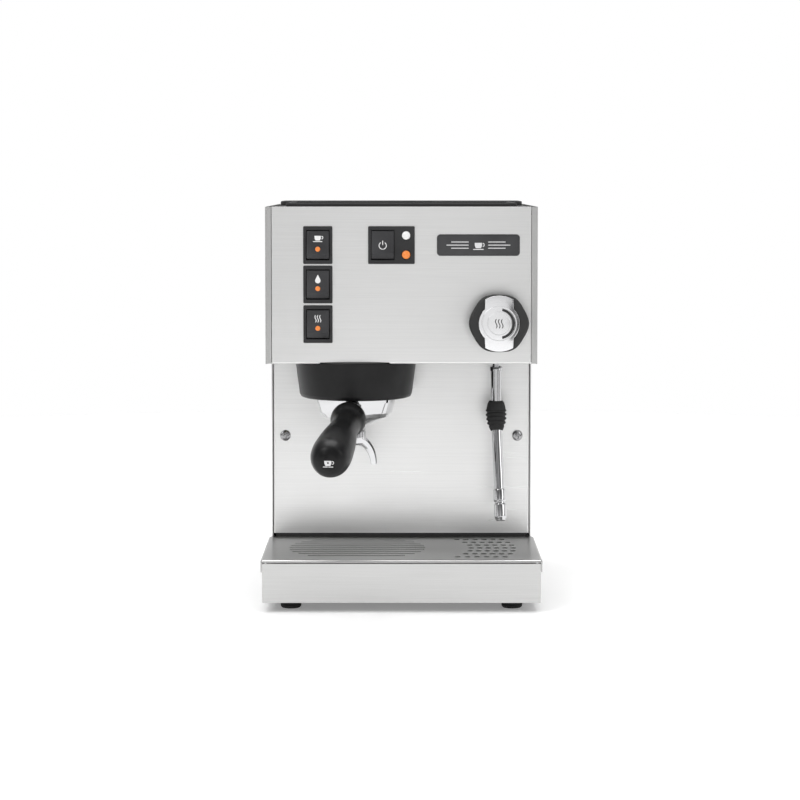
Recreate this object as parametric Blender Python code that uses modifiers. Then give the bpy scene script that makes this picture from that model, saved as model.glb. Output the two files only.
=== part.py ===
"""Espresso machine with one group, a steam wand, a lift-out drip tray and a rear water tank.

Metres, +Z up. The front faces -Y. The origin is on the surface the machine stands on, midway
between the tip of the portafilter handle and the back panel, and midway between the two sides.
"""

import math

import bmesh
import bpy
from mathutils import Matrix, Vector

# ---------------------------------------------------------------- driving dimensions

GAP = 0.0004  # between pieces that touch
RUNNING_GAP = 0.0008  # between pieces that move past each other
SHEET = 0.001  # stainless panels
CHASSIS_SHEET = 0.0015  # painted steel chassis
BEND = 0.0015  # outer radius of a folded edge
JOIN = 0.0002  # how far a welded-on flange is set back from the sheet's edges

BODY_WIDTH = 0.229  # over the side panels
BODY_DEPTH = 0.290  # front of the drip tray to the back panel
PANEL_SETBACK = 0.038  # front of the drip tray to the upper front panel
SPLASH_SETBACK = 0.129  # front of the drip tray to the splash panel
FOOT_HEIGHT = 0.008
FOOT_RADIUS = 0.0095
TRAY_TOP_Z = 0.044
PANEL_BOTTOM_Z = 0.2045
BODY_TOP_Z = 0.3369
RAIL_RISE = 0.0031  # raised rim round the top, above the front panel

GRATE_OVERHANG = 0.003  # beyond each side of the body
GRATE_FLANGE = 0.011
TRAY_FRONT_SHEET = 0.0012
TRAY_NOTCH_Z = 0.034  # bottom of the notch that the drain runs through
SPLASH_BOTTOM_Z = 0.0471
SCREW_X = 0.1025
SCREW_Z = 0.134
SCREW_HEAD_RADIUS = 0.0048
SCREW_SHANK_RADIUS = 0.0018
SIDE_FLANGE = 0.0050  # front flange of a side panel

GROUP_X = -0.0392
GROUP_SETBACK = 0.082  # front of the drip tray to the group's axis
COVER_TOP_RADIUS = 0.0522
COVER_BOTTOM_RADIUS = 0.0481
COVER_BOTTOM_Z = 0.1730
COVER_WALL = 0.002
NECK_RADIUS = 0.022
BOWL_RADIUS = 0.0338
BOWL_FOOT_INSET = 0.0033
BOWL_FOOT_Z = 0.1560
BOWL_TOP_Z = 0.1872
BOWL_OUTLET_Z = 0.1438
EAR_REACH = 0.006  # beyond the bowl
BASKET_INSET = 0.0044  # outside of the bowl to the outside of the basket
BASKET_WALL = 0.0006
BASKET_DEPTH = 0.024
GASKET_HEIGHT = 0.0033

HANDLE_SWING = math.radians(6.3)  # to the left of straight ahead when locked
HANDLE_DROOP = math.radians(10.0)
HANDLE_START = 0.0385  # group axis to the back end of the handle, measured level
HANDLE_REACH = 0.173  # group axis to the tip of the handle, measured level
COLLAR_REACH = 0.0503  # group axis to the middle of the collar
COLLAR_Z = 0.1578
COLLAR_RADIUS = 0.0150
GRIP_RADIUS = 0.0175

SPOUT_SPREAD = 0.0167  # group axis to the mouth of each spout
SPOUT_MOUTH_Z = 0.115
SPOUT_RADIUS = 0.0052

KNOB_X = 0.081
KNOB_Z = 0.2404
KNOB_RADIUS = 0.0250
KNOB_DEPTH = 0.0285
STEM_RADIUS = 0.003
VALVE_RADIUS = 0.009
WAND_X = 0.082
WAND_SETBACK = 0.090
WAND_RADIUS = 0.0045
WAND_BALL_RADIUS = 0.006
WAND_BALL_Z = 0.206
WAND_BEND_Z = 0.158
WAND_LEAN = math.radians(14.5)
WAND_LOWER = 0.0665  # bend to the upper end of the tip
TIP_LENGTH = 0.0270
TIP_RADIUS = 0.0053

SWITCH_X = -0.0702
POWER_X = -0.0157
LAMP_X = 0.0039
SWITCH_ROWS = (0.3047, 0.2716, 0.2382)  # heights of the switches' middles
BEZEL_WIDTH = 0.0245
BEZEL_HEIGHT = 0.0317
BEZEL_PROUD = 0.0020
BEZEL_DEPTH = 0.0115  # behind the face of the panel
BEZEL_LIP = 0.0015  # how far the bezel covers the panel round its hole
ROCKER_WIDTH = 0.0188
ROCKER_HEIGHT = 0.0244
ROCKER_KNEE = 0.79  # share of the rocker's height above the knee
LAMP_BEZEL_WIDTH = 0.0145
LAMP_RADIUS = 0.0035
LAMP_OFFSET = 0.0081  # lamps above and below the bezel's middle
BADGE_WIDTH = 0.0696
BADGE_HEIGHT = 0.0181
BADGE_X = 0.0646
BADGE_THICKNESS = 0.0012

BOILER_RADIUS = 0.0315
BOILER_HEIGHT = 0.086
TANK_BAY_SETBACK = 0.201  # front of the drip tray to the wall before the tank
TANK_WIDTH = 0.168
TANK_WALL = 0.002
TANK_TOP_Z = 0.320
SHELF_Z = 0.1575
PUMP_RADIUS = 0.020
PUMP_LENGTH = 0.085
PIPE_RADIUS = 0.0025
HOSE_RADIUS = 0.003
DRAIN_X = -0.097
HOSE_X = 0.035
FEED_X = 0.062
INLET_X = -0.070
INLET_Z = 0.060

TRAY_NOTCH_WIDTH = 0.012
SPIGOT_RADIUS = 0.003
VENT_ROWS = (0.285, 0.275, 0.265, 0.255)
INLET_WIDTH = 0.027
INLET_HEIGHT = 0.020
TOP_FRAME_INNER = 0.0945  # half the width of the recess that holds the cup plate
TOP_RIM_HALF = 0.0978
LID_CROWN_HALF = 0.1105
LEDGE = 0.004
PLATE_DROP = 0.0012  # how far the cup plate lies below the level top
CROWN_INSET = 0.0035  # edge of a top cover to its raised crown
SLOT_CIRCLE_X = -0.038
SLOT_CIRCLE_RADIUS = 0.0588
SLOT_PITCH = 0.0105
SLOT_WIDTH = 0.003
HOLE_RADIUS = 0.0027
HOLE_ROWS = (0.017, 0.0335, 0.0475, 0.064, 0.080, 0.095, 0.111)  # behind the front of the tray
HOLE_ARCS = (0.098, 0.105, 0.1125, 0.120, 0.127, 0.134)  # about the middle of the slots
SOCKET_RADIUS = 0.009
SEAT_HEIGHT = 0.0025
STEAM_PIPE_Z = 0.276
GASKET_RADIUS = 0.0360
EAR_HALF_WIDTH = 0.011
EAR_HEIGHT = 0.0040
HOSE_JOIN_Z = 0.200

ROUND = 32  # sides of a large turned piece
SMALL_ROUND = 20

# ---------------------------------------------------------------- places worked out from them

HANDLE_OVERHANG = HANDLE_REACH * math.cos(HANDLE_SWING) - GROUP_SETBACK
BACK_Y = (BODY_DEPTH + HANDLE_OVERHANG) / 2
FRONT_Y = BACK_Y - BODY_DEPTH
PANEL_Y = FRONT_Y + PANEL_SETBACK
SPLASH_Y = FRONT_Y + SPLASH_SETBACK
GROUP_Y = FRONT_Y + GROUP_SETBACK
WAND_Y = FRONT_Y + WAND_SETBACK
TANK_BAY_Y = FRONT_Y + TANK_BAY_SETBACK
HALF_BODY = BODY_WIDTH / 2
GRATE_WIDTH = BODY_WIDTH + 2 * GRATE_OVERHANG
TRAY_FRONT_WIDTH = BODY_WIDTH + GRATE_OVERHANG
BASKET_RADIUS = BOWL_RADIUS - BASKET_INSET
BOWL_FOOT_RADIUS = BOWL_RADIUS - BOWL_FOOT_INSET
EAR_RADIUS = BOWL_RADIUS + EAR_REACH
INNER_HALF = HALF_BODY - SHEET - GAP  # half the room between the side panels
PANEL_HALF = HALF_BODY - SIDE_FLANGE - GAP  # half the upper front panel
BASE_Z = FOOT_HEIGHT + GAP
FLOOR_Z = BASE_Z + CHASSIS_SHEET  # top of the chassis floor
DECK_Z = PANEL_BOTTOM_Z + SHEET + GAP  # underside of the deck
DECK_TOP_Z = DECK_Z + CHASSIS_SHEET
TOP_FRAME_Z = BODY_TOP_Z - 0.0069  # underside of the black frame round the top
GROUP_AXIS = Vector((GROUP_X, GROUP_Y, 0))
HANDLE_DIRECTION = Vector((-math.sin(HANDLE_SWING), -math.cos(HANDLE_SWING), 0))
HEAD_BOTTOM_Z = BOWL_TOP_Z - 0.0097
GASKET_Z = BOWL_TOP_Z + BASKET_WALL + 2 * GAP  # underside of the gasket
HEAD_FACE_Z = GASKET_Z + GASKET_HEIGHT + GAP  # underside of the group head's middle
LOW_SIDE_Z = TRAY_TOP_Z - GRATE_FLANGE + 0.0016  # top of the low sides that the grate's flanges hide
LAMP_PLACES = {"lamp_power": SWITCH_ROWS[0] + LAMP_OFFSET, "lamp_heat": SWITCH_ROWS[0] - LAMP_OFFSET}
DRAIN_PIPE_Z = TRAY_NOTCH_Z + 0.0045
DRAIN_Y = SPLASH_Y + 0.017
WALL_TOP_Z = TOP_FRAME_Z - 0.005
PLATE_BACK_Y = TANK_BAY_Y - 0.006
LID_FRONT_Y = TANK_BAY_Y + 0.0005
GRATE_BACK_Y = SPLASH_Y - RUNNING_GAP
TRAY_BACK_Y = GRATE_BACK_Y - 0.004
SLOT_CIRCLE_Y = FRONT_Y + 0.0654
ROCKER_PIVOT_Y = PANEL_Y  # the rockers turn about a line in the plane of the panel
BEZEL_FACE_Y = PANEL_Y - GAP - BEZEL_PROUD
KNOB_BACK_Y = PANEL_Y - 0.0015
KNOB_FACE_Y = KNOB_BACK_Y - KNOB_DEPTH
VALVE_FRONT_Y = PANEL_Y + SHEET + 0.003
SOCKET_TOP_Z = WAND_BALL_Z + 0.0125
STEAM_PIPE_Y = FRONT_Y + 0.080
UNLOCK_TURN = math.radians(45)
TANK_FRONT_Y = TANK_BAY_Y + 0.011
HOSE_Y = TANK_BAY_Y + 0.0055
PUMP_Y = SPLASH_Y + 0.040
PUMP_Z = FLOOR_Z + 0.004 + PUMP_RADIUS
SOLENOID_BACK_Y = GROUP_Y + 0.045
TOP_DECK_Z = BODY_TOP_Z - 0.0007  # level top outside the raised rim
TOP_RECESS_Z = TOP_DECK_Z - PLATE_DROP - SHEET
TOP_CUT_SPAN = (BODY_TOP_Z - 0.03, BODY_TOP_Z + 0.02)  # from below the top covers to above them

MATERIALS = {
    # name: (colour, roughness, metallic)
    "brushed_steel": ((0.62, 0.62, 0.61), 0.30, 1.0),
    "chrome": ((0.80, 0.80, 0.81), 0.08, 1.0),
    "black_plastic": ((0.020, 0.020, 0.021), 0.45, 0.0),
    "grey_plastic": ((0.055, 0.055, 0.057), 0.40, 0.0),
    "black_rubber": ((0.016, 0.016, 0.016), 0.70, 0.0),
    "painted_steel": ((0.030, 0.030, 0.031), 0.50, 0.4),
    "brass": ((0.72, 0.52, 0.22), 0.30, 1.0),
    "copper": ((0.75, 0.40, 0.25), 0.30, 1.0),
    "tank_plastic": ((0.75, 0.80, 0.82), 0.20, 0.0),
    "silicone": ((0.80, 0.80, 0.78), 0.50, 0.0),
    "amber_lens": ((0.85, 0.25, 0.05), 0.20, 0.0),
    "clear_lens": ((0.80, 0.80, 0.80), 0.20, 0.0),
}

# ---------------------------------------------------------------- modelling helpers


def clear_scene():
    for obj in list(bpy.data.objects):
        bpy.data.objects.remove(obj)


def new_collection(name):
    collection = bpy.data.collections.new(name)
    bpy.context.scene.collection.children.link(collection)
    return collection


def make_materials():
    for name, (colour, roughness, metallic) in MATERIALS.items():
        material = bpy.data.materials.new(name)
        material.use_nodes = True
        shader = material.node_tree.nodes["Principled BSDF"]
        shader.inputs["Base Color"].default_value = (*colour, 1.0)
        shader.inputs["Roughness"].default_value = roughness
        shader.inputs["Metallic"].default_value = metallic


def place(name, data, material):
    """Links a new object that holds data, with its material, in the machine's collection."""
    obj = bpy.data.objects.new(name, data)
    bpy.data.collections["espresso_machine"].objects.link(obj)
    data.materials.clear()
    data.materials.append(bpy.data.materials[material])
    return obj


def from_bmesh(name, bm, material):
    mesh = bpy.data.meshes.new(name)
    bm.to_mesh(mesh)
    bm.free()
    return place(name, mesh, material)


def as_helper(obj):
    """Takes a shape out of the machine: it only cuts or extends another piece."""
    bpy.data.collections["espresso_machine"].objects.unlink(obj)
    bpy.data.collections["helpers"].objects.link(obj)
    obj.hide_render = True
    obj.display_type = "WIRE"
    return obj


def combine(obj, other, operation):
    modifier = obj.modifiers.new(operation.lower(), "BOOLEAN")
    modifier.operation = operation
    modifier.object = as_helper(other)
    return obj


def cut(obj, *cutters):
    for cutter in cutters:
        combine(obj, cutter, "DIFFERENCE")
    return obj


def fuse(obj, *others):
    for other in others:
        combine(obj, other, "UNION")
    return obj


def bevel(obj, width, segments=2, angle=30):
    modifier = obj.modifiers.new("rounded_edges", "BEVEL")
    modifier.width = width
    modifier.segments = segments
    modifier.limit_method = "ANGLE"
    modifier.angle_limit = math.radians(angle)
    return obj


def thicken(obj, wall, offset=-1):
    modifier = obj.modifiers.new("wall", "SOLIDIFY")
    modifier.thickness = wall
    modifier.offset = offset
    modifier.use_even_offset = True
    return obj


def box_shape(low, high):
    bm = bmesh.new()
    bmesh.ops.create_cube(bm, size=1.0)
    low, high = Vector(low), Vector(high)
    bmesh.ops.scale(bm, vec=high - low, verts=bm.verts)
    bmesh.ops.translate(bm, vec=(low + high) / 2, verts=bm.verts)
    return bm


def box(name, low, high, material="painted_steel", edge=0.0):
    obj = from_bmesh(name, box_shape(low, high), material)
    return bevel(obj, edge) if edge else obj


def pan(name, low, high, open_side, wall, material, radius=BEND, segments=2):
    """A box of sheet, open on one side. open_side is a unit vector, and low and high are its outer size."""
    bm = box_shape(low, high)
    open_side = Vector(open_side)
    lid = [f for f in bm.faces if f.normal.dot(open_side) > 0.9]
    bmesh.ops.delete(bm, geom=lid, context="FACES_ONLY")
    obj = bevel(from_bmesh(name, bm, material), radius, segments)
    return thicken(obj, wall)


def folded(name, section, run, wall, material, radius=BEND, segments=2):
    """A sheet folded to a section, which is a list of points, and run along the vector run.

    The section is the outer side of the sheet, which faces away from the section's middle.
    """
    bm = bmesh.new()
    points = [bm.verts.new(p) for p in section]
    edges = [bm.edges.new(pair) for pair in zip(points, points[1:])]
    made = bmesh.ops.extrude_edge_only(bm, edges=edges)["geom"]
    far = [v for v in made if isinstance(v, bmesh.types.BMVert)]
    bmesh.ops.translate(bm, vec=run, verts=far)
    middle = sum((Vector(p) for p in section), Vector()) / len(section) + Vector(run) / 2
    bm.normal_update()
    widest = max(bm.faces, key=lambda face: face.calc_area())
    if widest.normal.dot(widest.calc_center_median() - middle) < 0:
        bmesh.ops.reverse_faces(bm, faces=bm.faces)
    obj = bevel(from_bmesh(name, bm, material), radius, segments)
    return thicken(obj, wall)


def rod(name, start, end, radius, material, end_radius=None, sides=SMALL_ROUND):
    """A straight cylinder, or a cone when end_radius is given."""
    start, end = Vector(start), Vector(end)
    bm = bmesh.new()
    bmesh.ops.create_cone(
        bm,
        cap_ends=True,
        segments=sides,
        radius1=radius,
        radius2=radius if end_radius is None else end_radius,
        depth=(end - start).length,
    )
    obj = from_bmesh(name, bm, material)
    obj.location = (start + end) / 2
    obj.rotation_mode = "QUATERNION"
    obj.rotation_quaternion = (end - start).to_track_quat("Z", "Y")
    return obj


def turned(name, profile, location, material, sides=ROUND, up=(0, 0, 1), closed=False):
    """A profile of (radius, height) points turned about its axis, which points along up.

    The points run down the outer side. A closed profile is a ring that doesn't reach the axis.
    """
    mesh = bpy.data.meshes.new(name)
    count = len(profile)
    edges = [(i, i + 1) for i in range(count - 1)]
    if closed:
        edges.append((count - 1, 0))
    mesh.from_pydata([(r, 0, z) for r, z in profile], edges, [])
    obj = place(name, mesh, material)
    screw = obj.modifiers.new("turned", "SCREW")
    screw.steps = sides
    screw.render_steps = sides
    screw.use_merge_vertices = True
    screw.merge_threshold = 0.00001
    obj.location = location
    obj.rotation_mode = "QUATERNION"
    obj.rotation_quaternion = Vector(up).to_track_quat("Z", "Y")
    return obj


def as_mesh(obj):
    """The same object as a plain closed mesh, so that it can be cut or joined."""
    graph = bpy.context.evaluated_depsgraph_get()
    bpy.context.view_layer.update()
    mesh = bpy.data.meshes.new_from_object(obj.evaluated_get(graph))
    bm = bmesh.new()
    bm.from_mesh(mesh)
    bmesh.ops.remove_doubles(bm, verts=bm.verts, dist=0.000001)
    bmesh.ops.recalc_face_normals(bm, faces=bm.faces)
    bm.to_mesh(mesh)
    bm.free()
    name, matrix, material = obj.name, obj.matrix_world.copy(), obj.data.materials[0]
    bpy.data.objects.remove(obj)
    made = place(name, mesh, material.name)
    made.matrix_world = matrix
    return made


def plate(name, outlines, thickness, material, matrix=Matrix.Identity(4)):
    """A flat piece. Each outline is a closed list of (x, y); those inside another are holes."""
    curve = bpy.data.curves.new(name, "CURVE")
    curve.dimensions = "2D"
    curve.fill_mode = "BOTH"
    curve.extrude = thickness / 2
    for outline in outlines:
        spline = curve.splines.new("POLY")
        spline.points.add(len(outline) - 1)
        for point, (x, y) in zip(spline.points, outline):
            point.co = (x, y, 0, 1)
        spline.use_cyclic_u = True
    obj = place(name, curve, material)
    obj.matrix_world = matrix
    return as_mesh(obj)


def tube(name, path, radius, material, resolution=2, radii=None):
    """A round wire or pipe along a list of points. radii scales it at each point."""
    curve = bpy.data.curves.new(name, "CURVE")
    curve.dimensions = "3D"
    curve.bevel_depth = radius
    curve.bevel_resolution = resolution
    curve.use_fill_caps = True
    spline = curve.splines.new("POLY")
    spline.points.add(len(path) - 1)
    for i, (point, place_of) in enumerate(zip(spline.points, path)):
        point.co = (*place_of, 1)
        point.radius = radii[i] if radii else 1.0
    return place(name, curve, material)


def bent_path(corners, bend_radius, steps=4):
    """A path through corners, with an arc of bend_radius in place of each inner one."""
    corners = [Vector(c) for c in corners]
    path = [corners[0]]
    for before, corner, after in zip(corners, corners[1:], corners[2:]):
        back = (before - corner).normalized()
        on = (after - corner).normalized()
        half = back.angle(on) / 2
        reach = bend_radius / math.tan(half)
        centre = corner + (back + on).normalized() * (bend_radius / math.sin(half))
        first = corner + back * reach - centre
        last = corner + on * reach - centre
        for i in range(steps + 1):
            path.append(centre + first.slerp(last, i / steps).normalized() * bend_radius)
    path.append(corners[-1])
    return path


def rounded_rectangle(width, height, radius, centre=(0, 0), steps=4):
    """Points around a rectangle with round corners."""
    outline = []
    corners = ((1, 1, 0), (-1, 1, 90), (-1, -1, 180), (1, -1, 270))
    for side_x, side_y, start in corners:
        for i in range(steps + 1):
            angle = math.radians(start + 90 * i / steps)
            x = side_x * (width / 2 - radius) + radius * math.cos(angle)
            y = side_y * (height / 2 - radius) + radius * math.sin(angle)
            outline.append((centre[0] + x, centre[1] + y))
    return outline


def arc(radius, start, end, steps):
    """Points (x, y) on a circle about the origin, angles in degrees."""
    angles = (math.radians(start + (end - start) * i / steps) for i in range(steps + 1))
    return [(radius * math.cos(a), radius * math.sin(a)) for a in angles]


def level(z, x=0.0, y=0.0):
    """Lays a plate flat with its middle at height z."""
    return Matrix.Translation((x, y, z))


def facing_front(x, y, z):
    """Stands a plate up: its x runs to the right and its y runs up."""
    return Matrix.Translation((x, y, z)) @ Matrix.Rotation(math.pi / 2, 4, "X")


# ---------------------------------------------------------------- chassis and panels


def foot_places():
    """Where the four feet stand, by name."""
    inset = 0.020
    x = INNER_HALF - inset
    front, back = FRONT_Y + inset + 0.006, BACK_Y - inset
    return {
        "foot_front_left": (-x, front),
        "foot_front_right": (x, front),
        "foot_back_left": (-x, back),
        "foot_back_right": (x, back),
    }


def feet():
    """Rubber feet, each with a spigot that sits in a hole of the base pan."""
    profile = [
        (0, FLOOR_Z - GAP),
        (SPIGOT_RADIUS, FLOOR_Z - GAP),
        (SPIGOT_RADIUS, FOOT_HEIGHT),
        (FOOT_RADIUS - 0.0005, FOOT_HEIGHT),
        (FOOT_RADIUS, 0.0015),
        (FOOT_RADIUS - 0.001, 0),
        (0, 0),
    ]
    for name, (x, y) in foot_places().items():
        turned(name, profile, (x, y, 0), "black_rubber", SMALL_ROUND)


def upright_hole(x, y, radius, low=0.0, high=0.4, sides=SMALL_ROUND):
    """A cutter for a round hole through level sheet."""
    return rod("hole", (x, y, low), (x, y, high), radius, "painted_steel", sides=sides)


def level_hole(x, z, radius, y, reach=0.01, sides=SMALL_ROUND):
    """A cutter for a round hole through upright sheet near the plane y."""
    start, end = (x, y - reach, z), (x, y + reach, z)
    return rod("hole", start, end, radius, "painted_steel", sides=sides)


def base_pan():
    """The floor of the chassis, with low side walls that the drip tray runs between."""
    front = FRONT_Y + 0.006
    section = [
        (-INNER_HALF, front, LOW_SIDE_Z),
        (-INNER_HALF, front, BASE_Z),
        (INNER_HALF, front, BASE_Z),
        (INNER_HALF, front, LOW_SIDE_Z),
    ]
    run = Vector((0, BACK_Y - SHEET - GAP - front, 0))
    pan_object = folded("base_pan", section, run, CHASSIS_SHEET, "painted_steel")
    holes = [upright_hole(x, y, SPIGOT_RADIUS + GAP, high=0.02) for x, y in foot_places().values()]
    cut(pan_object, *holes)


def bulkhead():
    """The upright wall behind the splash panel, which carries the front of the deck."""
    half = INNER_HALF - CHASSIS_SHEET - GAP
    face = SPLASH_Y + SHEET + GAP
    returns = 0.012
    low = FLOOR_Z + GAP
    section = [
        (-half, face + returns, low),
        (-half, face, low),
        (half, face, low),
        (half, face + returns, low),
    ]
    wall = folded("bulkhead", section, Vector((0, 0, DECK_Z - GAP - low)), CHASSIS_SHEET, "painted_steel")
    screws = [level_hole(side * SCREW_X, SCREW_Z, SCREW_SHANK_RADIUS + GAP, face) for side in (-1, 1)]
    drain = level_hole(DRAIN_X, DRAIN_PIPE_Z, PIPE_RADIUS + 2 * GAP, face)
    cut(wall, drain, *screws)


def boiler_deck():
    """The shelf that carries the boiler, folded up at the back as a wall before the tank."""
    front = PANEL_Y + SHEET + GAP
    section = [
        (-INNER_HALF, front, DECK_Z),
        (-INNER_HALF, TANK_BAY_Y, DECK_Z),
        (-INNER_HALF, TANK_BAY_Y, WALL_TOP_Z),
    ]
    deck = folded("boiler_deck", section, Vector((2 * INNER_HALF, 0, 0)), CHASSIS_SHEET, "painted_steel")
    cut(
        deck,
        upright_hole(GROUP_X, GROUP_Y, NECK_RADIUS + 2 * GAP, 0.19, 0.22, ROUND),
        upright_hole(WAND_X, WAND_Y, SOCKET_RADIUS + GAP, 0.19, 0.22),
        upright_hole(DRAIN_X, DRAIN_Y, PIPE_RADIUS + 2 * GAP, 0.19, 0.22),
        upright_hole(FEED_X, DRAIN_Y, PIPE_RADIUS + 2 * GAP, 0.19, 0.22),
    )


def tank_shelf():
    """A bridge that stands on the floor and carries the water tank."""
    half = TANK_WIDTH / 2 + 0.018
    front, back = TANK_BAY_Y + 0.002, BACK_Y - 0.010
    low = FLOOR_Z + GAP
    section = [(-half, front, low), (-half, front, SHELF_Z), (half, front, SHELF_Z), (half, front, low)]
    shelf = folded("tank_shelf", section, Vector((0, back - front, 0)), CHASSIS_SHEET, "painted_steel")
    slot = 2 * (HOSE_RADIUS + 0.001)
    low_corner = (HOSE_X - slot / 2, front - 0.005, SHELF_Z - 0.01)
    cut(shelf, box("slot", low_corner, (HOSE_X + slot / 2, HOSE_Y + slot / 2, SHELF_Z + 0.01)))


def side_panels():
    """Two C-shaped sheets, each with a narrow flange turned in beside the upper front panel."""
    leg_front = FRONT_Y + TRAY_FRONT_SHEET + GAP
    bottom = BASE_Z
    outline = [
        (BACK_Y, bottom),
        (BACK_Y, BODY_TOP_Z),
        (PANEL_Y, BODY_TOP_Z),
        (PANEL_Y, PANEL_BOTTOM_Z),
        (SPLASH_Y, PANEL_BOTTOM_Z),
        (SPLASH_Y, LOW_SIDE_Z),
        (leg_front, LOW_SIDE_Z),
        (leg_front, bottom),
    ]
    stand = Matrix.Rotation(math.pi / 2, 4, "Z") @ Matrix.Rotation(math.pi / 2, 4, "X")
    for side, name in ((-1, "side_panel_left"), (1, "side_panel_right")):
        middle = side * (HALF_BODY - SHEET / 2)
        matrix = Matrix.Translation((middle, 0, 0)) @ stand
        panel = plate(name, [outline], SHEET, "brushed_steel", matrix)
        outer = side * (HALF_BODY - SHEET / 2)
        inner = side * (HALF_BODY - SIDE_FLANGE)
        low = (min(outer, inner), PANEL_Y + JOIN, PANEL_BOTTOM_Z + JOIN)
        high = (max(outer, inner), PANEL_Y + SHEET, BODY_TOP_Z - JOIN)
        fuse(panel, box("flange", low, high))


def panel_switches():
    """The switches in the front panel: name, x and z of the middle."""
    top, middle, low = SWITCH_ROWS
    return (
        ("brew", SWITCH_X, top),
        ("water", SWITCH_X, middle),
        ("steam", SWITCH_X, low),
        ("power", POWER_X, top),
    )


def bezel_span(name, x):
    """The middle and the width of a switch's bezel. The one round the power switch also holds the lamps."""
    left, right = x - BEZEL_WIDTH / 2, x + BEZEL_WIDTH / 2
    if name == "power":
        right = LAMP_X + LAMP_BEZEL_WIDTH / 2
    return (left + right) / 2, right - left


def lamp_holes():
    """Cutters for the lamps' seats in their bezel."""
    return [
        level_hole(LAMP_X, z, LAMP_RADIUS + GAP, BEZEL_FACE_Y, BEZEL_PROUD + 0.007)
        for z in LAMP_PLACES.values()
    ]


def switch_hole(x, z, width):
    """A cutter for the hole that a bezel's body of this outer width passes through."""
    half_x = width / 2 - BEZEL_LIP + GAP
    half_z = BEZEL_HEIGHT / 2 - BEZEL_LIP + GAP
    low = (x - half_x, PANEL_Y - 0.005, z - half_z)
    return box("switch_hole", low, (x + half_x, PANEL_Y + 0.005, z + half_z))


def front_panel():
    """The upper front panel, folded under at its lower edge."""
    section = [
        (-PANEL_HALF, PANEL_Y + 0.012, PANEL_BOTTOM_Z),
        (-PANEL_HALF, PANEL_Y, PANEL_BOTTOM_Z),
        (-PANEL_HALF, PANEL_Y, BODY_TOP_Z),
    ]
    run = Vector((2 * PANEL_HALF, 0, 0))
    panel = folded("front_panel", section, run, SHEET, "brushed_steel")
    for name, x, z in panel_switches():
        middle, width = bezel_span(name, x)
        cut(panel, switch_hole(middle, z, width))
    cut(panel, level_hole(KNOB_X, KNOB_Z, STEM_RADIUS + RUNNING_GAP, PANEL_Y))
    bite = COVER_TOP_RADIUS + GAP
    cut(panel, upright_hole(GROUP_X, GROUP_Y, bite, PANEL_BOTTOM_Z - 0.002, DECK_Z - GAP / 2, ROUND))


def splash_panel():
    """The lower front panel, with its sides folded back and two screws."""
    low = SPLASH_BOTTOM_Z
    section = [
        (-INNER_HALF, SPLASH_Y + 0.008, low),
        (-INNER_HALF, SPLASH_Y, low),
        (INNER_HALF, SPLASH_Y, low),
        (INNER_HALF, SPLASH_Y + 0.008, low),
    ]
    run = Vector((0, 0, DECK_Z - GAP - low))
    panel = folded("splash_panel", section, run, SHEET, "brushed_steel")
    cut(panel, *[level_hole(side * SCREW_X, SCREW_Z, SCREW_SHANK_RADIUS + GAP, SPLASH_Y) for side in (-1, 1)])
    for side, name in ((-1, "splash_screw_left"), (1, "splash_screw_right")):
        splash_screw(name, side * SCREW_X)


def splash_screw(name, x):
    """A domed head with a cross recess, and a shank that reaches through the bulkhead."""
    head = 0.0022
    radius = SCREW_HEAD_RADIUS
    profile = [
        (0, head),
        (radius * 0.6, head * 0.9),
        (radius * 0.92, head * 0.5),
        (radius, 0),
        (SCREW_SHANK_RADIUS, 0),
        (SCREW_SHANK_RADIUS, -0.007),
        (0, -0.008),
    ]
    seat = SPLASH_Y - GAP
    screw = as_mesh(turned(name, profile, (x, seat, SCREW_Z), "chrome", SMALL_ROUND, up=(0, -1, 0)))
    face = seat - head
    long, narrow, deep = radius * 0.55, radius * 0.13, 0.0011
    for half_x, half_z in ((narrow, long), (long, narrow)):
        low = (x - half_x, face - 0.001, SCREW_Z - half_z)
        cut(screw, box("slot", low, (x + half_x, face + deep, SCREW_Z + half_z)))


def back_panel():
    """The rear sheet, with its sides folded forwards, rows of vents and the hole for the inlet."""
    low, high = FLOOR_Z + GAP, TOP_FRAME_Z - GAP
    section = [
        (INNER_HALF - 0.002, BACK_Y - 0.008, low),
        (INNER_HALF - 0.002, BACK_Y, low),
        (-INNER_HALF + 0.002, BACK_Y, low),
        (-INNER_HALF + 0.002, BACK_Y - 0.008, low),
    ]
    panel = folded("back_panel", section, Vector((0, 0, high - low)), SHEET, "brushed_steel")
    for z in VENT_ROWS:
        for side in (-1, 1):
            middle = side * 0.045
            low_corner = (middle - 0.025, BACK_Y - 0.003, z - 0.0015)
            cut(panel, box("vent", low_corner, (middle + 0.025, BACK_Y + 0.003, z + 0.0015)))
    half_x, half_z = INLET_WIDTH / 2 + GAP, INLET_HEIGHT / 2 + GAP
    low_corner = (INLET_X - half_x, BACK_Y - 0.004, INLET_Z - half_z)
    cut(panel, box("inlet_hole", low_corner, (INLET_X + half_x, BACK_Y + 0.004, INLET_Z + half_z)))


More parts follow.
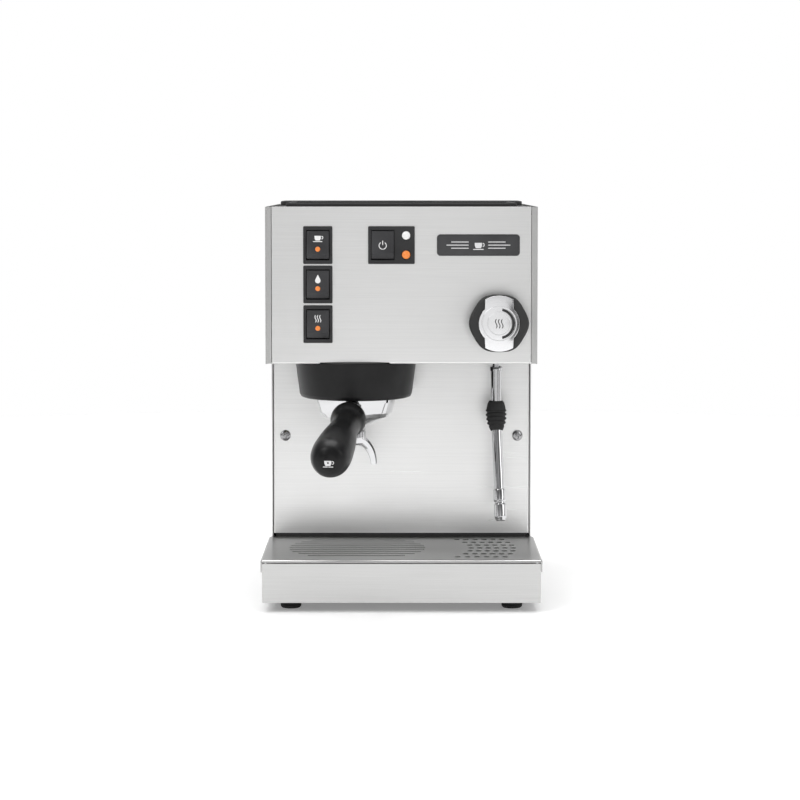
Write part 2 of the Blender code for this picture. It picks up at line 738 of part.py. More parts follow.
def power_inlet():
    """The mains socket in the back: a shroud with three pins in it, held by a flange."""
    x, z = INLET_X, INLET_Z
    half_x, half_z = INLET_WIDTH / 2, INLET_HEIGHT / 2
    depth, floor_thickness, wall = 0.020, 0.003, 0.0025
    face = BACK_Y + GAP - 0.0030  # the flange is let into the sheet, so nothing stands proud of it
    outline = rounded_rectangle(INLET_WIDTH, INLET_HEIGHT, 0.003)
    place_of = facing_front(x, face - depth / 2 + 0.0026, z)
    shroud = plate("power_inlet", [outline], depth, "black_plastic", place_of)
    pocket = (x - half_x + wall, face - depth + floor_thickness, z - half_z + wall)
    cut(shroud, box("pocket", pocket, (x + half_x - wall, face + 0.01, z + half_z - wall)))
    for dx, dz in ((-0.007, -0.002), (0.007, -0.002), (0, 0.0025)):
        pin = (x + dx - 0.001, face - depth + 0.002, z + dz - 0.002)
        fuse(shroud, box("pin", pin, (x + dx + 0.001, face - 0.005, z + dz + 0.002)))


# ---------------------------------------------------------------- top


def flat_box(name, half_x, front, back, low, high, radius, material="black_plastic"):
    """A slab with round corners in plan."""
    outline = rounded_rectangle(2 * half_x, back - front, radius)
    matrix = level((low + high) / 2, 0, (front + back) / 2)
    return plate(name, [outline], high - low, material, matrix)


def raised_top(name, half, edge, front, back, low):
    """A black cover as wide as the inside of the body, with a raised crown whose edge is rounded."""
    cover = flat_box(name, INNER_HALF, front, back, low, TOP_DECK_Z, 0.001)
    crown_front, crown_back = front + CROWN_INSET, back - CROWN_INSET
    top = BODY_TOP_Z + RAIL_RISE
    crown = flat_box("crown", half, crown_front, crown_back, low + 0.001, top, 0.012)
    return fuse(cover, bevel(crown, edge, 3, 60))


def top_frame():
    """The black frame that closes the top in front of the tank, with a raised rim round the cup plate."""
    front = PANEL_Y + SHEET + GAP
    frame = raised_top("top_frame", TOP_RIM_HALF, 0.0013, front, LID_FRONT_Y, TOP_FRAME_Z)
    plate_front = front + CROWN_INSET + 0.009
    cut(
        frame,
        flat_box("recess", TOP_FRAME_INNER, plate_front, PLATE_BACK_Y, TOP_RECESS_Z, TOP_CUT_SPAN[1], 0.006),
        flat_box(
            "opening", TOP_FRAME_INNER - LEDGE, plate_front + LEDGE, PLATE_BACK_Y - LEDGE, *TOP_CUT_SPAN, 0.004
        ),
    )
    low, high = TOP_RECESS_Z + GAP, TOP_RECESS_Z + GAP + SHEET
    half, back = TOP_FRAME_INNER - GAP, PLATE_BACK_Y - GAP
    front, corner = plate_front + GAP, 0.006 - GAP
    cup_plate = flat_box("cup_warmer_plate", half, front, back, low, high, corner, "brushed_steel")
    bevel(cup_plate, 0.0003, 1, 60)


def tank_deck():
    """The flat frame round the way in to the tank, on which the lid lies."""
    deck = flat_box("tank_deck", INNER_HALF, LID_FRONT_Y + GAP, BACK_Y, TOP_FRAME_Z, TOP_RECESS_Z, 0.001)
    front, back = LID_FRONT_Y + 0.0064, BACK_Y - 0.006
    cut(deck, flat_box("tank_way", TANK_WIDTH / 2 + 0.005, front, back, *TOP_CUT_SPAN, 0.004))
    half = HOSE_RADIUS + RUNNING_GAP
    low = (HOSE_X - half, LID_FRONT_Y, TOP_FRAME_Z - SHEET)
    cut(deck, box("dip_tube_way", low, (HOSE_X + half, front + SHEET, BODY_TOP_Z + RAIL_RISE)))


def tank_lid():
    """The lid over the tank, with a shallow finger recess across its front."""
    front, low = LID_FRONT_Y + RUNNING_GAP, TOP_RECESS_Z + GAP
    lid = raised_top("tank_lid", LID_CROWN_HALF, 0.0028, front, BACK_Y, low)
    top = BODY_TOP_Z + RAIL_RISE
    front = LID_FRONT_Y + 0.012
    cut(lid, flat_box("finger_recess", 0.030, front, front + 0.018, top - 0.0022, top + 0.01, 0.006))


# ---------------------------------------------------------------- drip tray


def drip_tray():
    """The stainless tray with its front, which slides out forwards."""
    floor_z = FLOOR_Z + RUNNING_GAP
    half = INNER_HALF - CHASSIS_SHEET - RUNNING_GAP
    low = (-half, FRONT_Y + TRAY_FRONT_SHEET / 2, floor_z)
    top = TRAY_TOP_Z - SHEET - GAP
    tray = pan("drip_tray", low, (half, TRAY_BACK_Y, top), (0, 0, 1), SHEET, "brushed_steel", 0.003)
    low = (DRAIN_X - TRAY_NOTCH_WIDTH / 2, TRAY_BACK_Y - TRAY_NOTCH_WIDTH / 2, TRAY_NOTCH_Z)
    cut(tray, box("drain_notch", low, (DRAIN_X + TRAY_NOTCH_WIDTH / 2, SPLASH_Y, TRAY_TOP_Z)))
    low = (-TRAY_FRONT_WIDTH / 2, FRONT_Y, FOOT_HEIGHT)
    front = box("tray_front", low, (TRAY_FRONT_WIDTH / 2, FRONT_Y + TRAY_FRONT_SHEET, top), edge=0.0004)
    fuse(tray, front)


def slot_outlines():
    """Straight slots that fill a circle, each with round ends."""
    outlines = []
    for row in range(-4, 5):
        y = row * SLOT_PITCH
        reach = math.sqrt(SLOT_CIRCLE_RADIUS**2 - y**2) - SLOT_WIDTH / 2
        ends = [(reach + dx, dy) for dx, dy in arc(SLOT_WIDTH / 2, -90, 90, 4)]
        ends += [(-reach + dx, dy) for dx, dy in arc(SLOT_WIDTH / 2, 90, 270, 4)]
        outlines.append([(SLOT_CIRCLE_X + dx, SLOT_CIRCLE_Y + y + dy) for dx, dy in ends])
    return outlines


def hole_outlines():
    """Round holes where straight rows cross arcs about the middle of the slots."""
    outlines = []
    for depth in HOLE_ROWS:
        y = FRONT_Y + depth
        for radius in HOLE_ARCS:
            x = SLOT_CIRCLE_X + math.sqrt(radius**2 - (y - SLOT_CIRCLE_Y) ** 2)
            ring = arc(HOLE_RADIUS, 0, 315, 7)
            outlines.append([(x + dx, y + dy) for dx, dy in ring])
    return outlines


def drip_grate():
    """The cover of the tray, with slots under the spouts, holes beside them and turned-down sides."""
    half = GRATE_WIDTH / 2
    low = TRAY_TOP_Z - GRATE_FLANGE
    section = [
        (-half, GRATE_BACK_Y, low),
        (-half, GRATE_BACK_Y, TRAY_TOP_Z),
        (half, GRATE_BACK_Y, TRAY_TOP_Z),
        (half, GRATE_BACK_Y, low),
    ]
    run = Vector((0, FRONT_Y - GRATE_BACK_Y, 0))
    grate = folded("drip_grate", section, run, SHEET, "brushed_steel")
    openings = plate("openings", slot_outlines() + hole_outlines(), 0.01, "brushed_steel", level(TRAY_TOP_Z))
    cut(grate, openings)


# ---------------------------------------------------------------- controls


def bezel(name, x, z, width, pockets):
    """A frame that covers the panel round its hole, with a body behind it and pockets in it."""
    face = rounded_rectangle(width, BEZEL_HEIGHT, 0.0008, steps=2)
    middle = PANEL_Y - GAP - BEZEL_PROUD / 2
    frame = plate(name, [face], BEZEL_PROUD, "black_plastic", facing_front(x, middle, z))
    half_x, half_z = width / 2 - BEZEL_LIP, BEZEL_HEIGHT / 2 - BEZEL_LIP
    low = (x - half_x, middle, z - half_z)
    fuse(frame, box("body", low, (x + half_x, PANEL_Y + BEZEL_DEPTH, z + half_z)))
    return cut(frame, *pockets)


def switch(name, x, z):
    """A bezel and its rocker, which turns about a level line."""
    clear = RUNNING_GAP / 2
    half_x, half_z = ROCKER_WIDTH / 2 + clear, ROCKER_HEIGHT / 2 + clear
    low = (x - half_x, PANEL_Y - 0.01, z - half_z)
    pocket = box("pocket", low, (x + half_x, PANEL_Y + BEZEL_DEPTH - 0.0015, z + half_z))
    pockets = [pocket, *lamp_holes()] if name == "power" else [pocket]
    middle, width = bezel_span(name, x)
    bezel(f"bezel_{name}", middle, z, width, pockets)
    half = ROCKER_HEIGHT / 2
    knee = half - ROCKER_KNEE * ROCKER_HEIGHT
    outline = [
        (0.0015, half - 0.0004),
        (0.0064, half - 0.0030),
        (0.0064, -half + 0.0030),
        (0.0015, -half + 0.0004),
        (-0.0016, -half + 0.0002),
        (-0.0044, knee),
        (-0.0026, half - 0.0002),
    ]
    stand = Matrix.Rotation(math.pi / 2, 4, "Z") @ Matrix.Rotation(math.pi / 2, 4, "X")
    matrix = Matrix.Translation((x, ROCKER_PIVOT_Y, z)) @ stand
    rocker = plate(f"rocker_{name}", [outline], ROCKER_WIDTH, "grey_plastic", matrix)
    bevel(rocker, 0.0004, 2, 20)


def lamps():
    """The two indicator lamps, one over the other beside the power switch."""
    radius = LAMP_RADIUS
    dome = [(0, 0.0022), (radius * 0.6, 0.0018), (radius, 0.0006), (radius, -0.007), (0, -0.007)]
    materials = {"lamp_power": "clear_lens", "lamp_heat": "amber_lens"}
    for name, z in LAMP_PLACES.items():
        turned(name, dome, (LAMP_X, BEZEL_FACE_Y, z), materials[name], SMALL_ROUND, up=(0, -1, 0))


def badge():
    """A plain plate with round corners."""
    outline = rounded_rectangle(BADGE_WIDTH, BADGE_HEIGHT, 0.003)
    middle = PANEL_Y - GAP - BADGE_THICKNESS / 2
    where = facing_front(BADGE_X, middle, SWITCH_ROWS[0])
    plate("badge_plate", [outline], BADGE_THICKNESS, "black_plastic", where)


# ---------------------------------------------------------------- steam valve and wand


def knob_outline(radius, steps=48):
    """A circle with six soft lobes, a little flatter at the top and bottom."""
    points = []
    for i in range(steps):
        angle = math.tau * i / steps
        lobed = radius * (1 - 0.02 + 0.02 * math.cos(6 * angle))
        points.append((lobed * math.cos(angle), lobed * math.sin(angle)))
    return points


def insert_outline(steps=10):
    """A waisted plate: arcs of the knob's face above and below, and a round middle."""
    reach, end, middle = KNOB_RADIUS * 0.93, math.radians(30), KNOB_RADIUS * 0.68
    points = []
    for sign in (1, -1):
        for i in range(steps + 1):
            angle = math.pi / 2 * sign - end + 2 * end * i / steps
            points.append((reach * math.cos(angle), reach * math.sin(angle)))
        side = -sign
        for i in range(1, steps):
            angle = math.radians(45) - math.radians(90) * i / steps
            points.append((side * middle * math.cos(angle), sign * middle * math.sin(angle)))
    return points


def steam_knob():
    """The lobed steam knob, its bright face plate and the spindle that it turns."""
    middle = (KNOB_BACK_Y + KNOB_FACE_Y) / 2
    outline = knob_outline(KNOB_RADIUS)
    knob = plate("steam_knob", [outline], KNOB_DEPTH, "black_plastic", facing_front(KNOB_X, middle, KNOB_Z))
    bevel(knob, 0.0022, 3, 60)
    bore_start = (KNOB_X, KNOB_BACK_Y + 0.01, KNOB_Z)
    bore_end = (KNOB_X, KNOB_BACK_Y - 0.015, KNOB_Z)
    cut(knob, rod("bore", bore_start, bore_end, STEM_RADIUS + GAP, "brass"))

    thickness = 0.0012
    place_at = facing_front(KNOB_X, KNOB_FACE_Y - GAP - thickness / 2, KNOB_Z)
    plate("knob_insert", [insert_outline()], thickness, "chrome", place_at)

    start = (KNOB_X, KNOB_BACK_Y - 0.015 + GAP, KNOB_Z)
    rod("valve_spindle", start, (KNOB_X, VALVE_FRONT_Y + 0.012, KNOB_Z), STEM_RADIUS, "brass")


def steam_valve():
    """The valve behind the panel, with an inlet on top and an outlet over the wand."""
    back = WAND_Y + VALVE_RADIUS
    valve = rod("steam_valve", (KNOB_X, VALVE_FRONT_Y, KNOB_Z), (KNOB_X, back, KNOB_Z), VALVE_RADIUS, "brass")
    outlet = (WAND_X, WAND_Y, SOCKET_TOP_Z + GAP)
    fuse(
        valve,
        rod("outlet", outlet, (WAND_X, WAND_Y, KNOB_Z), 0.005, "brass"),
        rod("inlet", (KNOB_X, STEAM_PIPE_Y, KNOB_Z), (KNOB_X, STEAM_PIPE_Y, KNOB_Z + 0.014), 0.005, "brass"),
    )
    bore_end = (KNOB_X, VALVE_FRONT_Y + 0.0125, KNOB_Z)
    cut(valve, rod("bore", (KNOB_X, VALVE_FRONT_Y - 0.01, KNOB_Z), bore_end, STEM_RADIUS + GAP, "brass"))


def wand_socket():
    """The socket in the deck that the wand's ball swivels in, and the seat over the ball."""
    ball = WAND_BALL_RADIUS
    clear = ball + RUNNING_GAP
    throat = ball * 0.975
    seat_z = WAND_BALL_Z - math.sqrt(clear**2 - throat**2)
    profile = [
        (0, SOCKET_TOP_Z),
        (SOCKET_RADIUS, SOCKET_TOP_Z),
        (SOCKET_RADIUS, WAND_BALL_Z - 0.0045),
        (ball * 1.15, WAND_BALL_Z - 0.0045),
        (throat, seat_z),
        (clear, WAND_BALL_Z - 0.0005),
        (clear, SOCKET_TOP_Z - 0.0030),
        (0, SOCKET_TOP_Z - 0.0030),
    ]
    turned("wand_socket", profile, (WAND_X, WAND_Y, 0), "chrome", 24)
    low = WAND_BALL_Z + ball + 0.0004
    seat = [
        (0, low + SEAT_HEIGHT),
        (ball * 0.95, low + SEAT_HEIGHT),
        (ball * 0.95, low),
        (0, low),
    ]
    turned("wand_seat", seat, (WAND_X, WAND_Y, 0), "silicone", SMALL_ROUND)


def wand_path():
    """The wand's centre line, bent forwards under the grip."""
    bend = Vector((WAND_X, WAND_Y, WAND_BEND_Z))
    end = bend + wand_direction() * WAND_LOWER
    return bent_path([(WAND_X, WAND_Y, WAND_BALL_Z - 0.0095), bend, end], 0.02, 3)


def wand_direction():
    """The direction of the wand's lower length: forwards, and a little outwards."""
    outward = 0.035
    return Vector((outward, -math.sin(WAND_LEAN), -math.cos(WAND_LEAN))).normalized()


def wand():
    """The wand with its ball, its rubber grip and its tip."""
    radius = WAND_BALL_RADIUS
    neck = 0.003
    turn = math.pi - math.asin(neck / radius)  # from the top of the ball to the neck
    steps = 7
    angles = [turn * i / steps for i in range(steps + 1)]
    profile = [(radius * math.sin(angle), radius * math.cos(angle)) for angle in angles]
    profile += [(neck, -0.0078), (0.0050, -0.0079), (0.0053, -0.0084), (0.0053, -0.0115), (0, -0.0115)]
    pipe = as_mesh(turned("wand_tube", profile, (WAND_X, WAND_Y, WAND_BALL_Z), "chrome", SMALL_ROUND))
    fuse(pipe, as_mesh(tube("pipe", wand_path(), WAND_RADIUS, "chrome", 3)))
    bend = Vector((WAND_X, WAND_Y, WAND_BEND_Z))
    wand_grip(bend)
    start = bend + wand_direction() * (WAND_LOWER + GAP)
    length = TIP_LENGTH
    profile = [
        (0, length),
        (TIP_RADIUS, length),
        (TIP_RADIUS, length * 0.62),
        (TIP_RADIUS * 0.86, length * 0.60),
        (TIP_RADIUS * 0.86, length * 0.55),
        (TIP_RADIUS, length * 0.53),
        (TIP_RADIUS * 0.98, length * 0.10),
        (TIP_RADIUS * 0.75, 0),
        (0, 0),
    ]
    end = start + wand_direction() * length
    turned("wand_tip", profile, end, "chrome", SMALL_ROUND, up=-wand_direction())


def wand_grip(bend):
    """An egg-shaped rubber sleeve over the bend of the wand."""
    upper = bend + Vector((0, 0, 0.0105))
    lower = bend + wand_direction() * 0.0155
    path = [p for p in bent_path([upper, bend, lower], 0.02, 6)]
    count = len(path) - 1
    radii = [0.62 + 0.38 * math.sin(math.pi * i / count) for i in range(count + 1)]
    grip = as_mesh(tube("wand_grip", path, 0.009, "black_rubber", 3, radii))
    bore = bent_path([upper + Vector((0, 0, 0.01)), bend, lower + wand_direction() * 0.01], 0.02, 3)
    cut(grip, as_mesh(tube("grip_bore", bore, WAND_RADIUS + GAP + 0.0002, "black_rubber", 3)))


# ---------------------------------------------------------------- group and portafilter


def group_cover():
    """The black cone round the group, cut off flat just before the splash panel."""
    top = DECK_Z - GAP
    low = COVER_BOTTOM_Z
    edge = 0.003
    profile = [
        (NECK_RADIUS + 0.004, top),
        (COVER_TOP_RADIUS, top),
        (COVER_BOTTOM_RADIUS + 0.0002, low + edge),
        (COVER_BOTTOM_RADIUS - 0.0012, low + 0.0008),
        (COVER_BOTTOM_RADIUS - edge, low),
        (COVER_BOTTOM_RADIUS - edge - 0.0015, low),
        (COVER_BOTTOM_RADIUS - edge, low + 0.002),
        (COVER_TOP_RADIUS - COVER_WALL - 0.001, top - COVER_WALL),
        (NECK_RADIUS + 0.004, top - COVER_WALL),
    ]
    cover = as_mesh(turned("group_cover", profile, GROUP_AXIS, "black_plastic", 48, closed=True))
    flat = SPLASH_Y - GAP
    keep_out = box("behind", (GROUP_X - 0.1, flat, 0.15), (GROUP_X + 0.1, flat + 0.1, 0.25))
    cut(cover, keep_out)


def group_head():
    """The brass head under the boiler, with a bayonet groove, its gasket and its screen."""
    outer = COVER_BOTTOM_RADIUS - 0.0045
    groove_top = BOWL_TOP_Z + 0.0004
    groove_low = groove_top - 0.0066
    shoulder = DECK_Z - GAP - COVER_WALL - GAP
    profile = [
        (0, DECK_TOP_Z + GAP),
        (NECK_RADIUS, DECK_TOP_Z + GAP),
        (NECK_RADIUS, shoulder),
        (outer - 0.006, shoulder - 0.003),
        (outer, shoulder - 0.010),
        (outer, HEAD_BOTTOM_Z),
        (BOWL_RADIUS + 0.0022, HEAD_BOTTOM_Z),
        (BOWL_RADIUS + 0.0022, groove_low),
        (EAR_RADIUS + RUNNING_GAP, groove_low),
        (EAR_RADIUS + RUNNING_GAP, groove_top),
        (GASKET_RADIUS + GAP, groove_top),
        (GASKET_RADIUS + GAP, HEAD_FACE_Z),
        (0, HEAD_FACE_Z),
    ]
    head = as_mesh(turned("group_head", profile, GROUP_AXIS, "brass", 48))
    way = box("ear_way", (-0.046, -EAR_HALF_WIDTH - 0.0015, HEAD_BOTTOM_Z - 0.01),
              (0.046, EAR_HALF_WIDTH + 0.0015, groove_low + 0.001))
    way.matrix_world = Matrix.Translation(GROUP_AXIS) @ Matrix.Rotation(-HANDLE_SWING - UNLOCK_TURN, 4, "Z")
    ring = upright_hole(GROUP_X, GROUP_Y, EAR_RADIUS + RUNNING_GAP, 0.1, 0.3, 48)
    cut(head, common(way, ring))

    gasket = [
        (GASKET_RADIUS, HEAD_FACE_Z - GAP),
        (GASKET_RADIUS, GASKET_Z),
        (GASKET_RADIUS - 0.0085, GASKET_Z),
        (GASKET_RADIUS - 0.0085, HEAD_FACE_Z - GAP),
    ]
    turned("group_gasket", gasket, GROUP_AXIS, "black_rubber", ROUND, closed=True)
    screen = GASKET_RADIUS - 0.0085 - GAP
    profile = [
        (0, HEAD_FACE_Z - GAP),
        (screen, HEAD_FACE_Z - GAP),
        (screen, HEAD_FACE_Z - 0.0015),
        (screen - 0.001, HEAD_FACE_Z - 0.0022),
        (0, HEAD_FACE_Z - 0.0018),
    ]
    turned("shower_screen", profile, GROUP_AXIS, "chrome", ROUND)


def common(obj, other):
    """The volume that two helpers share."""
    modifier = obj.modifiers.new("common", "BOOLEAN")
    modifier.operation = "INTERSECT"
    modifier.object = as_helper(other)
    return obj


def handle_axis(reach):
    """The point on the handle's centre line at a level distance from the group's axis."""
    z = COLLAR_Z - (reach - COLLAR_REACH) * math.tan(HANDLE_DROOP)
    return GROUP_AXIS + HANDLE_DIRECTION * reach + Vector((0, 0, z))


def portafilter():
    """The bowl with its two ears and its arm, and what it holds: basket, handle and spout."""
    inner = BASKET_RADIUS + 0.0010
    profile = [
        (BOWL_RADIUS, BOWL_TOP_Z),
        (BOWL_RADIUS + 0.0003, BOWL_TOP_Z - 0.012),
        (BOWL_RADIUS, BOWL_TOP_Z - 0.018),
        (BOWL_FOOT_RADIUS + 0.0008, BOWL_FOOT_Z + 0.004),
        (BOWL_FOOT_RADIUS - 0.002, BOWL_FOOT_Z),
        (0.014, BOWL_OUTLET_Z + 0.006),
        (0.0085, BOWL_OUTLET_Z + 0.004),
        (0.0085, BOWL_OUTLET_Z),
        (0.0035, BOWL_OUTLET_Z),
        (0.0035, BOWL_FOOT_Z + 0.001),
        (inner - 0.008, BOWL_FOOT_Z + 0.003),
        (inner, BOWL_FOOT_Z + 0.008),
        (inner, BOWL_TOP_Z),
    ]
    bowl = as_mesh(turned("portafilter_body", profile, GROUP_AXIS, "chrome", 48, closed=True))
    ear_top = BOWL_TOP_Z - 0.0005
    for side in (-1, 1):
        inner_x, outer_x = side * (BOWL_RADIUS - 0.002), side * (EAR_RADIUS - 0.0006)
        low = (min(inner_x, outer_x), -EAR_HALF_WIDTH * 0.7, ear_top - EAR_HEIGHT)
        ear = box("ear", low, (max(inner_x, outer_x), EAR_HALF_WIDTH * 0.7, ear_top), edge=0.0004)
        ear.matrix_world = Matrix.Translation(GROUP_AXIS) @ Matrix.Rotation(-HANDLE_SWING, 4, "Z")
        fuse(bowl, ear)
    start, end = handle_axis(BOWL_RADIUS - 0.0025), handle_axis(HANDLE_START - GAP)
    fuse(bowl, rod("arm", start, end, 0.0065, "chrome"))

    wall = BASKET_WALL
    top = BOWL_TOP_Z + GAP + wall
    bottom = top - BASKET_DEPTH
    radius = BASKET_RADIUS
    profile = [
        (BOWL_RADIUS - 0.001, top),
        (BOWL_RADIUS - 0.001, top - wall),
        (radius, top - wall),
        (radius - 0.001, bottom + 0.002),
        (radius - 0.003, bottom),
        (0, bottom),
        (0, bottom + wall),
        (radius - 0.003 - wall / 2, bottom + wall),
        (radius - 0.001 - wall, bottom + 0.002 + wall),
        (radius - wall, top),
    ]
    turned("filter_basket", profile, GROUP_AXIS, "chrome", ROUND, closed=True)
    handle()
    double_spout()


def handle():
    """A ball-shaped collar that runs into a long grip, thickest near its round end."""
    start = handle_axis(HANDLE_START)
    tip = handle_axis(HANDLE_REACH)
    length = (tip - start).length
    collar = (COLLAR_REACH - HANDLE_START) / math.cos(HANDLE_DROOP)
    grip = GRIP_RADIUS
    profile = [
        (0, length),
        (COLLAR_RADIUS * 0.66, length),
        (COLLAR_RADIUS * 0.92, length - collar * 0.45),
        (COLLAR_RADIUS, length - collar),
        (COLLAR_RADIUS * 0.95, length - collar - 0.006),
        (COLLAR_RADIUS * 0.82, length - collar - 0.013),
        (grip * 0.74, length * 0.70),
        (grip * 0.80, length * 0.58),
        (grip * 0.91, length * 0.42),
        (grip * 0.98, length * 0.27),
        (grip, length * 0.17),
        (grip * 0.95, length * 0.09),
        (grip * 0.76, length * 0.035),
        (grip * 0.42, length * 0.008),
        (0, 0),
    ]
    turned("portafilter_handle", profile, tip, "black_plastic", ROUND, up=(start - tip))


def double_spout():
    """A hub under the bowl with two arms that curve down and apart."""
    hub_top = BOWL_OUTLET_Z - GAP
    hub = as_mesh(rod("double_spout", GROUP_AXIS + Vector((0, 0, hub_top)),
                      GROUP_AXIS + Vector((0, 0, hub_top - 0.011)), 0.0085, "chrome"))
    across = HANDLE_DIRECTION.cross(Vector((0, 0, 1)))
    for side in (-1, 1):
        arm = []
        for angle in range(0, 91, 15):
            turn = math.radians(angle)
            out = SPOUT_SPREAD * math.sin(turn)
            drop = (hub_top - 0.006 - SPOUT_MOUTH_Z) * (1 - math.cos(turn))
            arm.append(GROUP_AXIS + across * side * out + Vector((0, 0, hub_top - 0.006 - drop)))
        fuse(hub, as_mesh(tube("spout_arm", arm, SPOUT_RADIUS, "chrome", 2)))


# ---------------------------------------------------------------- water, boiler and pipes


def boiler():
    """The brass boiler over the group, with a bolted lid."""
    low = DECK_TOP_Z + 2 * GAP
    high = low + BOILER_HEIGHT
    profile = [
        (0, high),
        (BOILER_RADIUS - 0.006, high),
        (BOILER_RADIUS - 0.003, high - 0.002),
        (BOILER_RADIUS, high - 0.002),
        (BOILER_RADIUS, high - 0.010),
        (BOILER_RADIUS - 0.002, high - 0.010),
        (BOILER_RADIUS - 0.002, low),
        (0, low),
    ]
    turned("boiler", profile, GROUP_AXIS, "brass", ROUND)


def tank():
    """The open-topped water tank on its shelf, and the pipe that draws from it."""
    half = TANK_WIDTH / 2
    front, back = TANK_FRONT_Y, BACK_Y - 0.010
    low = SHELF_Z + GAP
    shell = pan("water_tank", (-half, front, low), (half, back, TANK_TOP_Z), (0, 0, 1), TANK_WALL,
                "tank_plastic", 0.006, 3)
    return shell


def hoses():
    """The hose from the pump up to a coupling behind the wall, and the pipe from there into the tank."""
    pump_top = PUMP_Z + PUMP_RADIUS + GAP
    lower = bent_path(
        [
            (HOSE_X, PUMP_Y, pump_top),
            (HOSE_X, PUMP_Y, SHELF_Z - 0.018),
            (HOSE_X, HOSE_Y, SHELF_Z - 0.018),
            (HOSE_X, HOSE_Y, HOSE_JOIN_Z - GAP),
        ],
        0.008,
    )
    tube("suction_hose", lower, HOSE_RADIUS, "silicone", 2)
    over = TANK_TOP_Z + HOSE_RADIUS + 0.0015
    dip = TANK_FRONT_Y + TANK_WALL + HOSE_RADIUS + 0.004
    path = bent_path(
        [
            (HOSE_X, HOSE_Y, HOSE_JOIN_Z),
            (HOSE_X, HOSE_Y, over),
            (HOSE_X, dip, over),
            (HOSE_X, dip, SHELF_Z + 0.022),
        ],
        0.0045,
    )
    pipe = as_mesh(tube("dip_tube", path, HOSE_RADIUS, "silicone", 2))
    foot = Vector((HOSE_X, dip, SHELF_Z + 0.022))
    start, end = foot + Vector((0, 0, 0.002)), foot - Vector((0, 0, 0.014))
    fuse(pipe, rod("strainer", start, end, 0.0045, "black_plastic"))


def pump():
    """The vibration pump on two feet, with the relief valve on its outlet."""
    start = HOSE_X - PUMP_LENGTH / 2
    end = start + PUMP_LENGTH
    first, last = (start, PUMP_Y, PUMP_Z), (end, PUMP_Y, PUMP_Z)
    body = rod("pump", first, last, PUMP_RADIUS, "black_plastic", sides=ROUND)
    for x in (start + 0.012, end - 0.012):
        low = (x - 0.005, PUMP_Y - 0.014, FLOOR_Z + GAP)
        fuse(body, box("pump_foot", low, (x + 0.005, PUMP_Y + 0.014, PUMP_Z)))
    valve_x = FEED_X
    valve_low = PUMP_Z + PUMP_RADIUS + GAP
    top = valve_low + 0.022
    valve = rod("relief_valve", (valve_x, PUMP_Y, valve_low), (valve_x, PUMP_Y, top), 0.008, "brass")
    cap_z = valve_low + 0.011
    fuse(valve, rod("cap", (valve_x, PUMP_Y, cap_z), (valve_x + 0.020, PUMP_Y, cap_z), 0.006, "brass"))


def pipes():
    """Feed pipe to the boiler, steam pipe to the valve, and the drain of the solenoid valve."""
    boiler_side = BOILER_RADIUS - 0.002 + GAP
    feed_z = DECK_TOP_Z + 0.022
    start = (FEED_X, PUMP_Y, PUMP_Z + PUMP_RADIUS + 0.0225 + GAP)
    feed = [
        start,
        (FEED_X, PUMP_Y, start[2] + 0.020),
        (FEED_X, DRAIN_Y, start[2] + 0.020),
        (FEED_X, DRAIN_Y, feed_z),
        (FEED_X, GROUP_Y, feed_z),
        (GROUP_X + boiler_side, GROUP_Y, feed_z),
    ]
    tube("feed_pipe", bent_path(feed, 0.007), PIPE_RADIUS, "copper", 2)
    steam = [
        (GROUP_X + boiler_side, STEAM_PIPE_Y, STEAM_PIPE_Z),
        (KNOB_X, STEAM_PIPE_Y, STEAM_PIPE_Z),
        (KNOB_X, STEAM_PIPE_Y, KNOB_Z + 0.014 + GAP),
    ]
    tube("steam_pipe", bent_path(steam, 0.010), PIPE_RADIUS, "copper", 2)
    drain_z = DECK_TOP_Z + 0.016
    drain = [
        (DRAIN_X, SOLENOID_BACK_Y + GAP, drain_z),
        (DRAIN_X, DRAIN_Y, drain_z),
        (DRAIN_X, DRAIN_Y, DRAIN_PIPE_Z),
        (DRAIN_X, TRAY_BACK_Y - 0.008, DRAIN_PIPE_Z),
    ]
    tube("drain_pipe", bent_path(drain, 0.007), PIPE_RADIUS, "copper", 2)


def solenoid_valve():
    """The three-way valve beside the boiler: a coil on a brass block."""
    low = DECK_TOP_Z + GAP
    x, back = DRAIN_X, SOLENOID_BACK_Y
    block = box("solenoid_valve", (x - 0.012, back - 0.030, low), (x + 0.012, back, low + 0.024), "brass")
    coil = rod("coil", (x, back - 0.015, low + 0.020), (x, back - 0.015, low + 0.062), 0.013, "black_plastic")
    fuse(block, coil)


# ---------------------------------------------------------------- the whole machine


def main():
    clear_scene()
    new_collection("espresso_machine")
    new_collection("helpers")
    make_materials()
    feet()
    base_pan()
    bulkhead()
    boiler_deck()
    tank_shelf()
    side_panels()
    front_panel()
    splash_panel()
    back_panel()
    power_inlet()
    top_frame()
    tank_deck()
    tank_lid()
    drip_tray()
    drip_grate()
    for name, x, z in panel_switches():
        switch(name, x, z)
    lamps()
    badge()
    steam_knob()
    steam_valve()
    wand_socket()
    wand()
    group_cover()
    group_head()
    portafilter()
    boiler()
    tank()
    hoses()
    pump()
    pipes()
    solenoid_valve()


main()
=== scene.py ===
"""Looks of the espresso machine: finishes, fine meshes, floor, light and camera."""

from __future__ import annotations

import logging
import math
from dataclasses import dataclass, field
from enum import Enum

import bmesh
import bpy
from mathutils import Matrix, Vector

